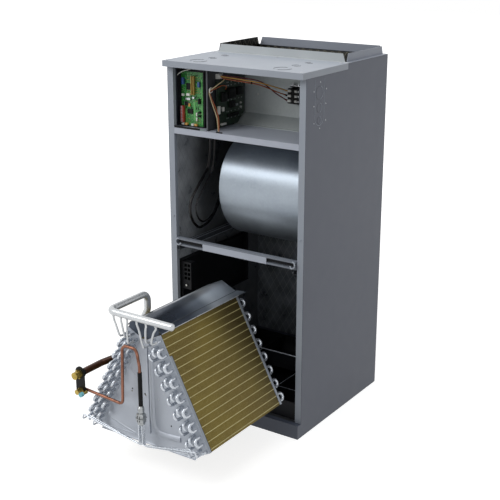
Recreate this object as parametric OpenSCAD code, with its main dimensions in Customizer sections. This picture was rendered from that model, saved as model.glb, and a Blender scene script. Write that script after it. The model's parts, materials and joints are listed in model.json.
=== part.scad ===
// Air handler: upright sheet-metal cabinet with the doors off and the A-shaped
// cooling coil drawn straight out of its compartment.
// Frame: X to the right, Y from the front of the cabinet to its back, Z up.
// The origin is on the floor, at the middle of the cabinet's front edge.

/* [Cabinet] */
// Width of the cabinet
cab_w = 540; // [500:1:620]
// Depth of the cabinet
cab_d = 540; // [530:1:600]
// Height of the cabinet to the top plate
cab_h = 1235; // [1225:1:1400]
// Thickness of the cabinet sheet
sheet = 1.2; // [0.8:0.1:2]
// Width of a front post
post_w = 24; // [18:0.5:28]
// Depth of a front post's inner return
post_d = 14; // [8:0.5:14]
// Thickness of the foil-faced lining
liner_t = 12; // [6:0.5:14]

/* [Base] */
// Height of the base rail
base_h = 50; // [40:1:50]
// How far the front base rail stands out
base_over = 20.5; // [5:0.5:30]
// Half width of the return-air opening in the deck
return_hw = 190; // [120:1:200]

/* [Top plate and duct flanges] */
// How far the top plate stands out in front
cap_over = 24; // [10:1:40]
// Height of the top plate's turned-down edges
cap_lip = 20; // [10:1:30]
// Depth of the top plate, from the front posts back
cap_d = 258; // [250:1:262]
// Height of the supply duct flanges
duct_h = 27; // [15:1:40]
// Depth of the supply opening
duct_d = 260; // [200:1:262]
// Width of the foot of a side duct flange
duct_foot = 15; // [8:1:20]
// Width of the foot of the rear duct flange
duct_back = 8; // [4:1:12]
// How far the ends of a duct flange are cut back at the top
duct_cut = 9; // [4:1:20]

/* [Control compartment] */
// Height of the control compartment above its shelf
control_h = 225; // [215:1:235]
// Height of the shelf's turned-down front edge
shelf_lip = 20; // [10:1:25]
// Place of the control back panel
control_y = 230; // [226:1:236]
// Height of the bend in the control back panel above the shelf
control_bend = 32; // [20:1:50]
// Place of the divider's right face, left of the middle
divider_x = 112; // [105:1:120]
// Width of the control board
board_w = 89; // [70:1:90]
// Height of the control board
board_h = 180; // [150:1:185]
// Length of the interface board along the divider
iface_l = 160; // [120:1:165]
// Height of the interface board
iface_h = 156; // [100:1:170]
// Thickness of a circuit board
pcb_t = 1.6; // [1:0.1:2.4]
// Width of the terminal block
term_w = 45; // [40:1:50]
// Height of the terminal block
term_h = 50; // [45:1:60]
// Depth of the terminal block
term_d = 28; // [20:1:32]

/* [Blower] */
// How far the wheel's centre hangs below the control shelf
blower_drop = 206; // [198:1:210]
// Place of the wheel's centre behind the front posts
blower_y = 278; // [276:1:282]
// Width of the blower housing
scroll_w = 322; // [290:1:330]
// Radius of the scroll's first quarter
scroll_r = 170; // [165:1:172]
// Growth of the scroll's radius per quarter
scroll_step = 24; // [20:1:25]
// Thickness of the blower sheet
scroll_t = 1; // [0.8:0.1:1.5]
// Radius of the blower inlets
inlet_r = 108; // [100:1:110]
// Outer radius of the wheel
wheel_r = 127; // [120:1:130]
// Depth of a wheel blade
blade_d = 20; // [15:1:22]
// Number of wheel blades
blades = 40; // [24:1:44]
// Radius of the motor
motor_r = 66; // [55:1:68]
// Length of the motor body
motor_l = 110; // [80:1:112]
// Length of the motor's control module
module_l = 20; // [16:1:28]
// Radius of the motor shaft
shaft_r = 6.35; // [5:0.05:8]
// Running clearance round the motor shaft
shaft_gap = 0.06; // [0.02:0.01:0.1]

/* [Middle rail] */
// How far the middle rail's centre is below the wheel's centre
rail_drop = 193; // [188:1:198]
// Height of the middle rail
rail_h = 28; // [20:1:32]
// Length of the middle rail's cover strip
rail_cover_l = 260; // [150:1:300]

/* [Drain pans] */
// Height of the pan's rim above the base deck
pan_h = 62.7; // [62:0.1:63]
// Wall thickness of the pans
pan_t = 3; // [2:0.1:4]
// Half width of the pan's air opening
pan_open_hw = 113; // [100:1:120]
// Front edge of the pan's air opening
pan_open_y = 96; // [80:1:110]
// Back edge of the pan's air opening
pan_open_back = 352; // [300:1:400]
// Bore of a drain port
port_r = 12.5; // [10:0.1:14]
// How far the upright side pan reaches below the middle rail's centre
tray_drop = 266; // [241:1:266]
// Height of the upright side pan
tray_h = 190; // [120:1:200]
// Depth of the upright side pan from front to back
tray_l = 410; // [300:1:450]

/* [Coil] */
// Half width of the coil at the foot of its slabs
coil_hw = 240; // [200:1:240]
// Height of the slabs' lower outer corners
coil_z = 150; // [150:1:160]
// Length of the coil from front to back
coil_l = 405; // [380:1:420]
// How far the coil stands out in front of the posts
coil_out = 480; // [474:1:500]
// Length of a slab from foot to top
slab_h = 386; // [380:1:388]
// Thickness of a slab
slab_t = 57; // [54:1:60]
// Lean of a slab from upright
slab_lean = 27.2; // [26.5:0.1:27.6]
// Tubes in a row
tubes = 16; // [8:2:16]
// Spacing of the tubes along the slab
tube_pitch = 24.1; // [23:0.1:24.1]
// Spacing of the rows through the slab
row_pitch = 19; // [18:0.5:20]
// Radius of a coil tube
tube_r = 4.8; // [3.5:0.1:5]
// Radius of the suction header
header_r = 11.1; // [8:0.1:12]
// Radius of the liquid line
liquid_r = 4.8; // [3:0.1:6]
// Radius of a feeder tube
feeder_r = 3.2; // [2.6:0.1:3.6]
// Radius of a distributor tube
dist_r = 2.4; // [1.5:0.1:2.6]

/* [Hidden] */
$fn = 48;
eps = 0.3;             // running gap between faces that nearly touch
in_x = cab_w/2 - sheet;            // inner face of a side panel
lin_x = in_x - liner_t;            // inner face of a side lining
open_x = cab_w/2 - post_w;         // edge of the front opening
back_y = cab_d - sheet;            // inner face of the back panel
lin_y = back_y - liner_t;          // inner face of the back lining
top_z = cab_h - sheet;             // underside of the top plate
shelf_z = cab_h - control_h;       // top face of the control shelf
control_bend_z = shelf_z + control_bend;   // bend in the control back panel
blower_z = shelf_z - blower_drop;  // height of the wheel's centre
rail_z = blower_z - rail_drop;     // height of the middle rail's centre
tray_z = rail_z - tray_drop;       // lowest edge of the upright side pan
duct_y = cab_d - duct_back - duct_d;   // front of the supply opening
duct_hw = cab_w/2 - duct_foot;         // half width of the supply opening
divider_l = 216;                   // length of the divider, from its front edge
divider_y = 10;                    // front edge of the divider
divider_top = cab_h - 20;          // top of the divider
board_y = 40;                      // front face of the control board
board_x = -(divider_x + 41);       // right edge of the control board
board_z = shelf_z + 5;             // lower edge of the control board
carrier_t = 8.4;                   // depth of the board carrier
iface_y = 49;                      // front edge of the interface board
standoff = 6;                      // height of a board's stand-offs
term_x = 76;                       // left face of the terminal block
term_z = cab_h - 142;              // lower face of the terminal block
wall_y = control_y;                // front face of the control back panel
scroll_top = shelf_z - sheet - blower_z;   // top of the housing above the wheel's centre
half_step = scroll_step/2;
scroll_back = half_step + scroll_r + 2*scroll_step;  // back of the housing behind the centre
scroll_mid = 31;                   // middle of the blower housing, right of the cabinet's middle
wheel_hw = scroll_w/2 - 8;         // half width of the wheel
motor_x = -82;                     // right end of the motor body
rail_hl = open_x - 2;              // half length of the middle rail
deck_z = base_h;                   // top face of the base deck
pan_hw = lin_x - 4;                // half width of the drain pan
pan_y = post_d + 1;                // front face of the drain pan
pan_back = lin_y - 18;             // back face of the drain pan
rib_z = deck_z + pan_h;            // top of the pan's ribs and walls
port_x = [-205, -160];             // places of the drain ports
port_z = deck_z + 24;              // height of the drain ports
tray_y = post_d + 6;               // front of the upright side pan
tray_d = 20;                       // depth of the upright side pan's walls
coil_y = -coil_out;                // front face of the coil's end plates
coil_back = coil_y + coil_l;       // back face of the coil's end plates
plate_t = 1.5;                     // coil end plate
fin_t = 2;                         // wall of a fin pack
bore_gap = 0.1;                    // room round a tube in its end plate
tail = 18;                         // how far a tube stands out of its end plate
first_tube = 8;                    // first tube above the foot of a slab
stagger = 9.5;                     // how much higher the middle row sits
first_row = 9.5;                   // first row behind a slab's outer face
rows = 3;
delta_z = rib_z + eps;             // underside of the coil's foot
apex_gap = 0.35;                   // room between the slab tops and the apex cap
inner_x = coil_hw - slab_h*sin(slab_lean) - slab_t*cos(slab_lean);  // slab's inner top corner
inner_z = coil_z + slab_h*cos(slab_lean) - slab_t*sin(slab_lean);
outer_x = coil_hw - slab_h*sin(slab_lean);                          // slab's outer top corner
outer_z = coil_z + slab_h*cos(slab_lean);
foot_x = coil_hw - slab_t*cos(slab_lean);                           // slab's inner foot corner
foot_z = coil_z - slab_t*sin(slab_lean);
header_y = coil_y - 45;            // axis of the suction header
header_z = outer_z + 58.7;
header_end = 146;                  // right end of the suction header
header_left = -100;                // axis of its left leg
line_y = coil_y - 40;              // plane of the liquid line
fit_y = coil_y - 52;               // middle of the fitting plate
fit_x = -225;                      // middle of the fitting plate
liquid_x = fit_x + 4;              // axis of the liquid stub
suction_z = 313;                   // height of the suction stub
liquid_z = 258;                    // height of the liquid stub
valve_x = 11;                      // axis of the expansion valve
valve_z = [199, 262];              // foot and top of the expansion valve
feeder_x = [[-80, -51, -27], [83, 46, 11]];   // feeders on the header, by slab and row

// A box between two corners
module block(lo, hi) translate(lo) cube(hi - lo);

// The same shape on the right and on the left
module both_sides() {
    children();
    mirror([1, 0, 0]) children();
}

// A flat outline in the YZ plane, drawn as [y, z], from x0 to x1
module along_x(x0, x1) translate([x0, 0, 0]) rotate([90, 0, 90]) linear_extrude(x1 - x0) children();

// A flat outline in the XZ plane, drawn as [x, z], from y0 to y1
module along_y(y0, y1) translate([0, y1, 0]) rotate([90, 0, 0]) linear_extrude(y1 - y0) children();

// A round bar along Y or X
module rod_y(x, z, r, y0, y1) translate([x, y0, z]) rotate([-90, 0, 0]) cylinder(r = r, h = y1 - y0);
module rod_x(y, z, r, x0, x1) translate([x0, y, z]) rotate([0, 90, 0]) cylinder(r = r, h = x1 - x0);

// A tube swept along a list of points, with a ring of flats at each point
function unit(v) = v/norm(v);
function heading(q, i) = unit(q[min(i + 1, len(q) - 1)] - q[max(i - 1, 0)]);
function side_of(q, i) = i == 0
    ? let (d = heading(q, 0)) unit(cross(d, abs(d[2]) > 0.9 ? [1, 0, 0] : [0, 0, 1]))
    : let (d = heading(q, i), s = side_of(q, i - 1)) unit(s - d*(s*d));
module swept(q, r, sides) {
    m = len(q);
    rings = [for (i = [0:m - 1]) let (d = heading(q, i), s = side_of(q, i), t = cross(d, s))
        for (k = [0:sides - 1]) q[i] + r*(s*cos(k*360/sides) + t*sin(k*360/sides))];
    wall = [for (i = [0:m - 2]) for (k = [0:sides - 1]) let (k1 = (k + 1) % sides)
        each [[i*sides + k, (i + 1)*sides + k1, i*sides + k1],
              [i*sides + k, (i + 1)*sides + k, (i + 1)*sides + k1]]];
    ends = [[for (k = [0:sides - 1]) k], [for (k = [sides - 1:-1:0]) (m - 1)*sides + k]];
    polyhedron(rings, concat(ends, wall));
}

// Hard pipe through a list of corners, bent with one radius or a radius for each corner
function corner(p, i, bend) = let (
        d0 = unit(p[i] - p[i-1]), d1 = unit(p[i+1] - p[i]), turn = acos(d0*d1),
        back = bend*tan(turn/2), inward = unit(d1 - d0*(d0*d1)), steps = ceil(turn/24))
    [for (k = [0:steps]) let (a = k*turn/steps)
        p[i] - d0*back + inward*bend*(1 - cos(a)) + d0*bend*sin(a)];
function bent(p, bend) = [p[0], for (i = [1:1:len(p) - 2]) each corner(p, i, is_list(bend) ? bend[i] : bend),
    p[len(p) - 1]];
module pipe(p, r, bend, sides = 12) swept(bent(p, bend), r, sides);

// Soft lead along a smooth curve through hand-chosen points
function spline(p, i, t) = let (
        a = p[max(i - 1, 0)], b = p[i], c = p[i+1], d = p[min(i + 2, len(p) - 1)])
    0.5*(2*b + (c - a)*t + (2*a - 5*b + 4*c - d)*t*t + (3*b - a - 3*c + d)*t*t*t);
function smooth(p, n) = [for (i = [0:len(p) - 2]) for (k = [0:n - 1]) spline(p, i, k/n), p[len(p) - 1]];
module lead(p, r, n = 4, sides = 8) swept(smooth(p, n), r, sides);

// Closed ring groove in a face that looks up
module ring_groove(x, y, r) translate([x, y, cab_h - 0.6]) difference() {
    cylinder(r = r + 0.6, h = 2);
    translate([0, 0, -1]) cylinder(r = r - 0.6, h = 4);
    for (a = [30, 210]) rotate(a) translate([r - 3, -3, -1]) cube([6, 6, 4]);
}

// Cabinet skin
knock_y = 80;                       // middle of the side knock-outs
knock_z = [cab_h - 72, cab_h - 119, cab_h - 158];
knock_r = [21.5, 15, 11.7];
module side_panel() difference() {
    block([in_x, 0, 0], [cab_w/2, cab_d, top_z]);
    for (i = [0:2]) difference() {
        rod_x(knock_y, knock_z[i], knock_r[i] + 0.6, cab_w/2 - 0.6, cab_w/2 + 1);
        rod_x(knock_y, knock_z[i], knock_r[i] - 0.6, cab_w/2 - 1, cab_w/2 + 2);
    }
}
module right_side_panel() color("slategray") side_panel();
module left_side_panel() color("slategray") mirror([1, 0, 0]) side_panel();
module back_panel() color("slategray") block([-in_x, back_y, 0], [in_x, cab_d, top_z]);
module front_posts() color("lightsteelblue") both_sides() {
    block([open_x, 0, deck_z], [in_x, sheet, top_z]);
    block([open_x, sheet, deck_z], [open_x + sheet, post_d, top_z]);
}
cap_hw = cab_w/2 + sheet;
module top_cap() color("lightsteelblue") difference() {
    union() {
        block([-cap_hw, -cap_over, top_z], [cap_hw, cap_d, cab_h]);
        block([-cap_hw, -cap_over, cab_h - cap_lip], [cap_hw, sheet - cap_over, top_z]);
        both_sides() block([cab_w/2, sheet - cap_over, cab_h - cap_lip], [cap_hw, cap_d, top_z]);
    }
    both_sides() ring_groove(-163, 32, 28.5);
    both_sides() ring_groove(-164, 112, 14);
    both_sides() ring_groove(-166, 186, 12);
}

// Flanges round the supply opening
module flange_outline(hw) polygon([[-hw, 0], [hw, 0], [hw - duct_cut, duct_h], [duct_cut - hw, duct_h]]);
module front_duct_flange() color("slategray") {
    block([-in_x, cap_d, top_z], [in_x, duct_y, cab_h]);
    translate([0, 0, cab_h]) along_y(duct_y - sheet, duct_y) flange_outline(duct_hw - 3);
}
module rear_duct_flange() color("slategray") {
    block([-in_x, duct_y + duct_d, top_z], [in_x, cab_d, cab_h]);
    translate([0, 0, cab_h]) along_y(duct_y + duct_d, duct_y + duct_d + sheet)
        flange_outline(duct_hw - 3);
}
module side_duct_flanges() color("slategray") both_sides() {
    block([duct_hw, duct_y, top_z], [cab_w/2, duct_y + duct_d, cab_h]);
    translate([duct_hw, duct_y + duct_d/2, cab_h]) rotate([90, 0, 90]) linear_extrude(sheet)
        flange_outline(duct_d/2 - 3);
}

// Base
module base_front_rail() color("slategray") {
    block([-cab_w/2, -base_over, 0], [cab_w/2, sheet - base_over, base_h]);
    block([-cab_w/2, sheet - base_over, base_h - sheet], [cab_w/2, 0, base_h]);
    block([-cab_w/2, sheet - base_over, 0], [cab_w/2, 0, sheet]);
    block([-in_x, 0, 0], [in_x, 30, sheet]);
    both_sides() block([in_x, sheet - base_over, sheet], [cab_w/2, 0, base_h - sheet]);
}
module rail_profile() {
    square([30, sheet]);
    square([sheet, base_h - sheet]);
    translate([0, base_h - 2*sheet]) square([30, sheet]);
}
module base_rails() color("gray") {
    both_sides() translate([in_x, 0, 0]) mirror([1, 0, 0]) along_y(31, back_y - 31) rail_profile();
    translate([0, back_y, 0]) mirror([0, 1, 0]) along_x(-in_x, in_x) rail_profile();
}
module base_deck() color("silver") difference() {
    block([-in_x, 0, base_h - sheet], [in_x, back_y, base_h]);
    block([-return_hw, 60, 0], [return_hw, back_y - 60, base_h + 1]);
}

// Foil-faced lining
liner_z = [deck_z, shelf_z - sheet - 6];
module side_liner() block([lin_x, post_d, liner_z[0]], [in_x, back_y, liner_z[1]]);
module right_liner() color("dimgray") side_liner();
module left_liner() color("dimgray") mirror([1, 0, 0]) side_liner();
module back_liner() color("dimgray") block([-lin_x, lin_y, rib_z], [lin_x, back_y, liner_z[1]]);

// Control compartment
wire_hole = [-86, 32, 9];           // place and radius of the wire hole in the shelf
module control_shelf() color("lightsteelblue") difference() {
    union() {
        block([-open_x + eps, 0, shelf_z - shelf_lip], [open_x - eps, sheet, shelf_z]);
        block([-open_x + eps, sheet, shelf_z - sheet], [open_x - eps, post_d, shelf_z]);
        block([-in_x, post_d, shelf_z - sheet], [in_x, control_y + 2, shelf_z]);
    }
    translate([wire_hole[0], wire_hole[1], shelf_z - 5]) cylinder(r = wire_hole[2], h = 10);
}
module blower_deck() color("silver") difference() {
    block([-in_x, control_y + 2, shelf_z - sheet], [in_x, back_y, shelf_z]);
    block([scroll_mid - scroll_w/2 + scroll_t, blower_y - half_step + scroll_t, shelf_z - 5],
        [scroll_mid + scroll_w/2 - scroll_t, blower_y + scroll_back - scroll_t, shelf_z + 5]);
}
foot_y = control_y - 52;            // where the back panel's slope meets the shelf
module control_back_panel() color("lightgray") along_x(-in_x, in_x) polygon([
    [foot_y - 12, shelf_z], [foot_y, shelf_z], [control_y + 1.2, control_bend_z - 0.5],
    [control_y + 1.2, top_z], [control_y, top_z], [control_y, control_bend_z],
    [foot_y - 0.5, shelf_z + 1.2], [foot_y - 12, shelf_z + 1.2]]);
module divider_panel() color("lightsteelblue") {
    block([-divider_x - 1.2, divider_y, shelf_z], [-divider_x, foot_y - 16, divider_top]);
    block([-divider_x - 1.2, foot_y - 16, control_bend_z + 4],
        [-divider_x, divider_y + divider_l, divider_top]);
    block([-divider_x - 6, divider_y, shelf_z], [-divider_x, divider_y + 1.2, divider_top]);
    block([-in_x, board_y + pcb_t + carrier_t, shelf_z],
        [-divider_x, board_y + pcb_t + carrier_t + 1.2, divider_top]);
}
module board_carrier() color("black") difference() {
    block([board_x - board_w - 5, board_y + pcb_t, board_z - 4],
        [board_x + 5, board_y + pcb_t + carrier_t, board_z + board_h + 4]);
    block([board_x - board_w + 3, board_y, board_z + 3],
        [board_x - 3, board_y + pcb_t + 4, board_z + board_h - 3]);
}
module control_board() color("green")
    block([board_x - board_w, board_y, board_z], [board_x, board_y + pcb_t, board_z + board_h]);
iface_x = -divider_x + standoff;
module interface_board() color("darkgreen") {
    along_x(iface_x, iface_x + pcb_t) polygon([[iface_y, board_z], [foot_y - 8, board_z],
        [iface_y + iface_l, board_z + 34], [iface_y + iface_l, board_z + iface_h],
        [iface_y, board_z + iface_h]]);
    for (y = [iface_y + 8, iface_y + iface_l - 8], z = [board_z + 42, board_z + iface_h - 8])
        rod_x(y, z, 3, -divider_x, iface_x);
}
// Part on the front of the control board, x and z from its lower left corner
module front_part(x, z, w, h, d) translate([board_x - board_w + x, board_y - d, board_z + z])
    cube([w, d, h]);
// Part on the right face of the interface board, y and z from its lower front corner
module side_part(y, z, l, h, d) translate([iface_x + pcb_t, iface_y + y, board_z + z])
    cube([d, l, h]);
module board_components() color("ivory") {
    front_part(46, 104, 12, 64, 11);
    front_part(6, 137, 9, 22, 9);
    front_part(5, 98, 9, 8, 8);
    front_part(25, 100, 14, 8, 8);
    front_part(14, 66, 20, 14, 3);
    front_part(2, 10, 12, 55, 12);
    for (x = [4, 18, 44, 58]) front_part(x, 1, 10, 7, 9);
    front_part(72, 76, 8, 18, 8);
    front_part(73, 32, 7, 7, 7);
    front_part(73, 44, 7, 7, 7);
    side_part(4, 46, 14, 28, 18);
    side_part(26, 44, 18, 22, 18);
    side_part(18, 8, 34, 13, 10);
    side_part(134, 62, 8, 8, 12);
    side_part(134, 48, 8, 8, 12);
    side_part(60, 90, 40, 34, 16);
    side_part(112, 96, 26, 26, 20);
    side_part(60, 28, 60, 10, 12);
}
module terminal_block() color("black") difference() {
    union() {
        block([term_x, wall_y - term_d, term_z], [term_x + term_w, wall_y, term_z + term_h]);
        block([term_x + 2, wall_y - 14, term_z + term_h + 3], [term_x + term_w, wall_y, term_z + term_h + 9]);
    }
    for (i = [0:2]) block([term_x + 4, wall_y - term_d - 1, term_z + 3 + i*(term_h/3)],
        [term_x + term_w - 4, wall_y - term_d + 4, term_z + term_h/3 - 3 + i*(term_h/3)]);
}
clip_at = [-divider_x + 8, 18, shelf_z + 135];
module wire_clip() color("white") {
    translate(clip_at) rotate([0, 90, 0]) rotate_extrude() translate([8, 0]) circle(1.6, $fn = 24);
    rod_x(clip_at[1] + 8, clip_at[2], 2.5, -divider_x, clip_at[0]);
}
plug_at = [-divider_x, 56, shelf_z + 167];
module harness_plug() color("white") {
    block(plug_at, plug_at + [14, 22, 16]);
    for (i = [0:3]) block(plug_at + [14, 2 + 5*i, 3], plug_at + [17, 5 + 5*i, 13]);
}
// Routes of the leads in the control compartment
power_routes = [
    [[-94.6, 60, 1186], [-70, 64, 1184], [-20, 74, 1180], [40, 92, 1172], [66, 150, 1152], [74.4, 206, 1134]],
    [[-94.6, 65, 1182], [-70, 70, 1177], [-20, 82, 1172], [34, 102, 1163], [60, 160, 1136], [74.4, 206, 1118]],
    [[-94.6, 70, 1188], [-70, 78, 1186], [-20, 92, 1182], [30, 112, 1172], [58, 160, 1130], [74.4, 206, 1101]]];
signal_routes = [
    [[-94.6, 75, 1182], [-86, 66, 1174], [-90, 44, 1164], [-97, 28, 1154], [-104, 17, 1147],
        [-108.6, 15, 1138], [-107, 22, 1112], [-99, 30, 1078], [-89, 30, 1052], [-86, 32, 1012], [-86, 32, 985]],
    [[-102, 97, 1138], [-92, 88, 1150], [-90, 62, 1156], [-96, 36, 1150], [-104, 21, 1143],
        [-108.4, 19, 1134], [-104, 26, 1110], [-95, 34, 1080], [-85, 33, 1052], [-82, 31, 1012], [-82, 31, 985]]];
module control_wires() color("peru") {
    for (p = power_routes) lead(p, 1.6, 4);
    for (p = signal_routes) lead(p, 1.3, 3);
}

// Blower housing: four quarter arcs that grow, then a straight outlet
module quarter(cy, cz, r, sy, sz) translate([cy, cz]) intersection() {
    circle(r, $fn = 120);
    translate([sy < 0 ? -r : 0, sz < 0 ? -r : 0]) square(r);
}
module scroll_shape(inset = 0, top = scroll_top) {
    quarter(-half_step, -half_step, scroll_r - inset, -1, 1);
    quarter(half_step, -half_step, scroll_r + scroll_step - inset, -1, -1);
    quarter(half_step, half_step, scroll_r + 2*scroll_step - inset, 1, -1);
    translate([-half_step - 1, -half_step - 1])
        square([scroll_back + half_step + 1 - inset, scroll_r - inset + 1]);
    translate([inset - half_step, 0]) square([scroll_back + half_step - 2*inset, top]);
}
module blower_wrap() color("silver") translate([scroll_mid, blower_y, blower_z])
    along_x(-scroll_w/2, scroll_w/2) difference() {
        scroll_shape();
        scroll_shape(scroll_t, scroll_top + 1);
    }
inlet_l = 6;                        // how far the inlet's rim stands out
module blower_side_plates() color("silver") translate([scroll_mid, blower_y, blower_z]) both_sides() {
    along_x(scroll_w/2, scroll_w/2 + scroll_t) difference() {
        scroll_shape();
        circle(inlet_r);
    }
    along_x(scroll_w/2 + scroll_t, scroll_w/2 + scroll_t + inlet_l) difference() {
        circle(inlet_r + 3);
        circle(inlet_r);
    }
}

// Wheel, hub and motor
function blade_point(t, out) = let (r = wheel_r - 1 - blade_d*t, a = 14*t*t + out*0.45)
    [r*cos(a), r*sin(a)];
module blade() polygon(concat([for (t = [0:0.25:1]) blade_point(t, -1)],
    [for (t = [1:-0.25:0]) blade_point(t, 1)]));
hub_hl = 16;
module blower_wheel() color("gainsboro") translate([scroll_mid, blower_y, blower_z]) {
    along_x(-wheel_hw, wheel_hw) for (i = [0:blades - 1]) rotate(i*360/blades) blade();
    for (x = [-wheel_hw, wheel_hw - 4]) along_x(x, x + 4) difference() {
        circle(wheel_r);
        circle(wheel_r - blade_d/2);
    }
}
module wheel_hub() color("dimgray") translate([scroll_mid, blower_y, blower_z]) difference() {
    union() {
        rod_x(0, 0, wheel_r - 1 - blade_d - 0.1, -1, 1);
        rod_x(0, 0, 15, -hub_hl, hub_hl);
    }
    rod_x(0, 0, shaft_r, -hub_hl - 1, hub_hl + 1);
}
module motor_shaft() color("silver") rod_x(blower_y, blower_z, shaft_r, motor_x - 40,
    scroll_mid + hub_hl + 6);
module motor_body() color("dimgray") translate([0, blower_y, blower_z]) difference() {
    union() {
        rod_x(0, 0, motor_r, motor_x - motor_l, motor_x - 4);
        rod_x(0, 0, motor_r - 14, motor_x - 4, motor_x);
    }
    rod_x(0, 0, shaft_r + shaft_gap, motor_x - 40.5, motor_x + 1);
}
module motor_module() color("black")
    rod_x(blower_y, blower_z, motor_r - 2, motor_x - motor_l - module_l, motor_x - motor_l);
mount_x = scroll_mid - scroll_w/2 - 20;         // middle of the motor's band
module motor_mount() color("silver") translate([0, blower_y, blower_z]) {
    difference() {
        rod_x(0, 0, motor_r + 2.5, mount_x - 12, mount_x + 12);
        rod_x(0, 0, motor_r, mount_x - 13, mount_x + 13);
    }
    for (a = [30, 150, 270]) rotate([a, 0, 0]) {
        block([mount_x - 10, -7, motor_r + 2.4], [mount_x - 6, 7, inlet_r + 22]);
        block([mount_x - 10, -7, inlet_r + 22], [scroll_mid - scroll_w/2 - scroll_t, 7, inlet_r + 26]);
    }
}
// Route of the motor's lead, down in a loop beside the housing and up to the shelf
lead_routes = [
    [[-206, 232.4, 758.4], [-204, 200, 719], [-201, 158, 678], [-200, 123, 655],
        [-200, 75, 649], [-200, 38, 676], [-200, 21, 714], [-200, 26, 754], [-200, 56, 787],
        [-200, 103, 830], [-200, 127, 861], [-200, 138, 910], [-200, 140, 960], [-200, 140, 1008.6]],
    [[-203, 218.8, 776.8], [-198, 190, 740], [-190, 150, 700], [-188, 118, 678],
        [-188, 82, 670], [-188, 54, 686], [-188, 38, 716], [-188, 42, 748], [-188, 68, 776],
        [-188, 114, 820], [-188, 138, 856], [-188, 148, 906], [-188, 151, 960], [-188, 151, 1008.6]]];
module motor_leads() color("black") {
    lead(lead_routes[0], 5, 3, 10);
    lead(lead_routes[1], 3.2, 3);
}

// Middle rail and its ledges
module cross_rail() color("lightgray") along_x(-rail_hl, rail_hl) polygon([
    [-4, rail_z + rail_h/2 - 7], [-4, rail_z + rail_h/2], [12, rail_z + rail_h/2],
    [12, rail_z - rail_h/2], [-4, rail_z - rail_h/2], [-4, rail_z - rail_h/2 + 6],
    [8, rail_z - rail_h/2 + 6], [8, rail_z + rail_h/2 - 7]]);
module cross_rail_cover() color("gainsboro") block(
    [-rail_cover_l/2, -5.5, rail_z - rail_h/2], [rail_cover_l/2, -4, rail_z + rail_h/2 - 6]);
ledge_top = rail_z - rail_h/2 - eps;
module side_ledges() color("lightgray") both_sides() {
    block([open_x - 14, 0, ledge_top - sheet], [open_x - eps, lin_y, ledge_top]);
    block([open_x - eps, post_d, ledge_top - sheet], [lin_x, lin_y, ledge_top]);
    block([open_x - 14, 0, ledge_top - 18], [open_x - 14 + sheet, lin_y, ledge_top - sheet]);
    block([open_x - 14 + sheet, 0, ledge_top - 18], [open_x - 2, 14, ledge_top - 16.5]);
}

// Drain pans
module drain_pan() color("black") difference() {
    union() {
        difference() {
            block([-pan_hw, pan_y, deck_z], [pan_hw, pan_back, rib_z]);
            block([pan_t - pan_hw, pan_y + pan_t, deck_z + pan_t],
                [pan_hw - pan_t, pan_back - pan_t, rib_z + 1]);
        }
        both_sides() block([pan_open_hw, pan_y + pan_t, deck_z + pan_t],
            [pan_open_hw + pan_t, pan_back - pan_t, rib_z]);
        for (y = [pan_open_y - pan_t, pan_open_back])
            block([pan_t - pan_hw, y, deck_z + pan_t], [pan_hw - pan_t, y + pan_t, rib_z]);
        for (x = port_x) rod_y(x, port_z, port_r + 4, pan_y - 14, pan_y);
    }
    block([-pan_open_hw, pan_open_y, deck_z - 1], [pan_open_hw, pan_open_back, rib_z + 1]);
    for (x = port_x) rod_y(x, port_z, port_r, pan_y - 15, pan_y + pan_t + 1);
    for (y = [pan_open_y - pan_t, pan_open_back], x = [-1, 1])
        translate([x*(pan_hw + pan_open_hw)/2 - 12, y - 1, deck_z + pan_t]) cube([24, pan_t + 2, 14]);
    both_sides() block([pan_open_hw - 1, pan_y + 30, deck_z + pan_t],
        [pan_open_hw + pan_t + 1, pan_y + 50, deck_z + pan_t + 14]);
    both_sides() block([pan_open_hw - 1, pan_back - 90, deck_z + pan_t],
        [pan_open_hw + pan_t + 1, pan_back - 60, deck_z + pan_t + 14]);
}
tray_port = [-lin_x + 37, tray_z + 101];
block_z = [tray_z + 86, tray_z + tray_h - 4];
module side_drain_pan() color("black") difference() {
    union() {
        difference() {
            block([-lin_x, tray_y, tray_z], [-lin_x + tray_d, tray_y + tray_l, tray_z + tray_h]);
            block([-lin_x + pan_t, tray_y + pan_t, tray_z + pan_t],
                [-lin_x + tray_d + 1, tray_y + tray_l - pan_t, tray_z + tray_h - pan_t]);
        }
        block([-lin_x + pan_t, tray_y, block_z[0]], [-lin_x + 56, tray_y + 26, block_z[1]]);
    }
    for (i = [0:3], j = [0:1]) block([-lin_x + 27 + 14*j, tray_y - 1, block_z[0] + 34 + 16*i],
        [-lin_x + 38 + 14*j, tray_y + 18, block_z[0] + 45 + 16*i]);
    rod_y(tray_port[0], tray_port[1], 8, tray_y - 1, tray_y + 20);
}
module drain_plug() color("ghostwhite") {
    rod_y(tray_port[0], tray_port[1], 7.9, tray_y - 0.5, tray_y + 12);
    rod_y(tray_port[0], tray_port[1], 4, tray_y - 4, tray_y - 0.5);
}

// Pan-head screws through the outer sheet and in the terminal block
module screws() color("lightgray") {
    for (i = [0:2], x = [term_x + 10, term_x + term_w - 10])
        rod_y(x, term_z + (i + 0.5)*term_h/3, 4, wall_y - term_d + 0.5, wall_y - term_d + 4);
    for (p = [[-254, 242], [8, 244], [256, 235], [-260, -14], [260, -14]])
        translate([p[0], p[1], cab_h]) cylinder(r = 4.2, h = 2.6);
    for (p = [[-63, 98], [20, 180], [200, 180], [200, 50]])
        rod_y(p[0], shelf_z + p[1], 4, control_y - 2.6, control_y);
    for (s = [-1, 1]) rod_y(s*(open_x + 10), rail_z + 89, 4, -2.6, 0);
}

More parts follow.
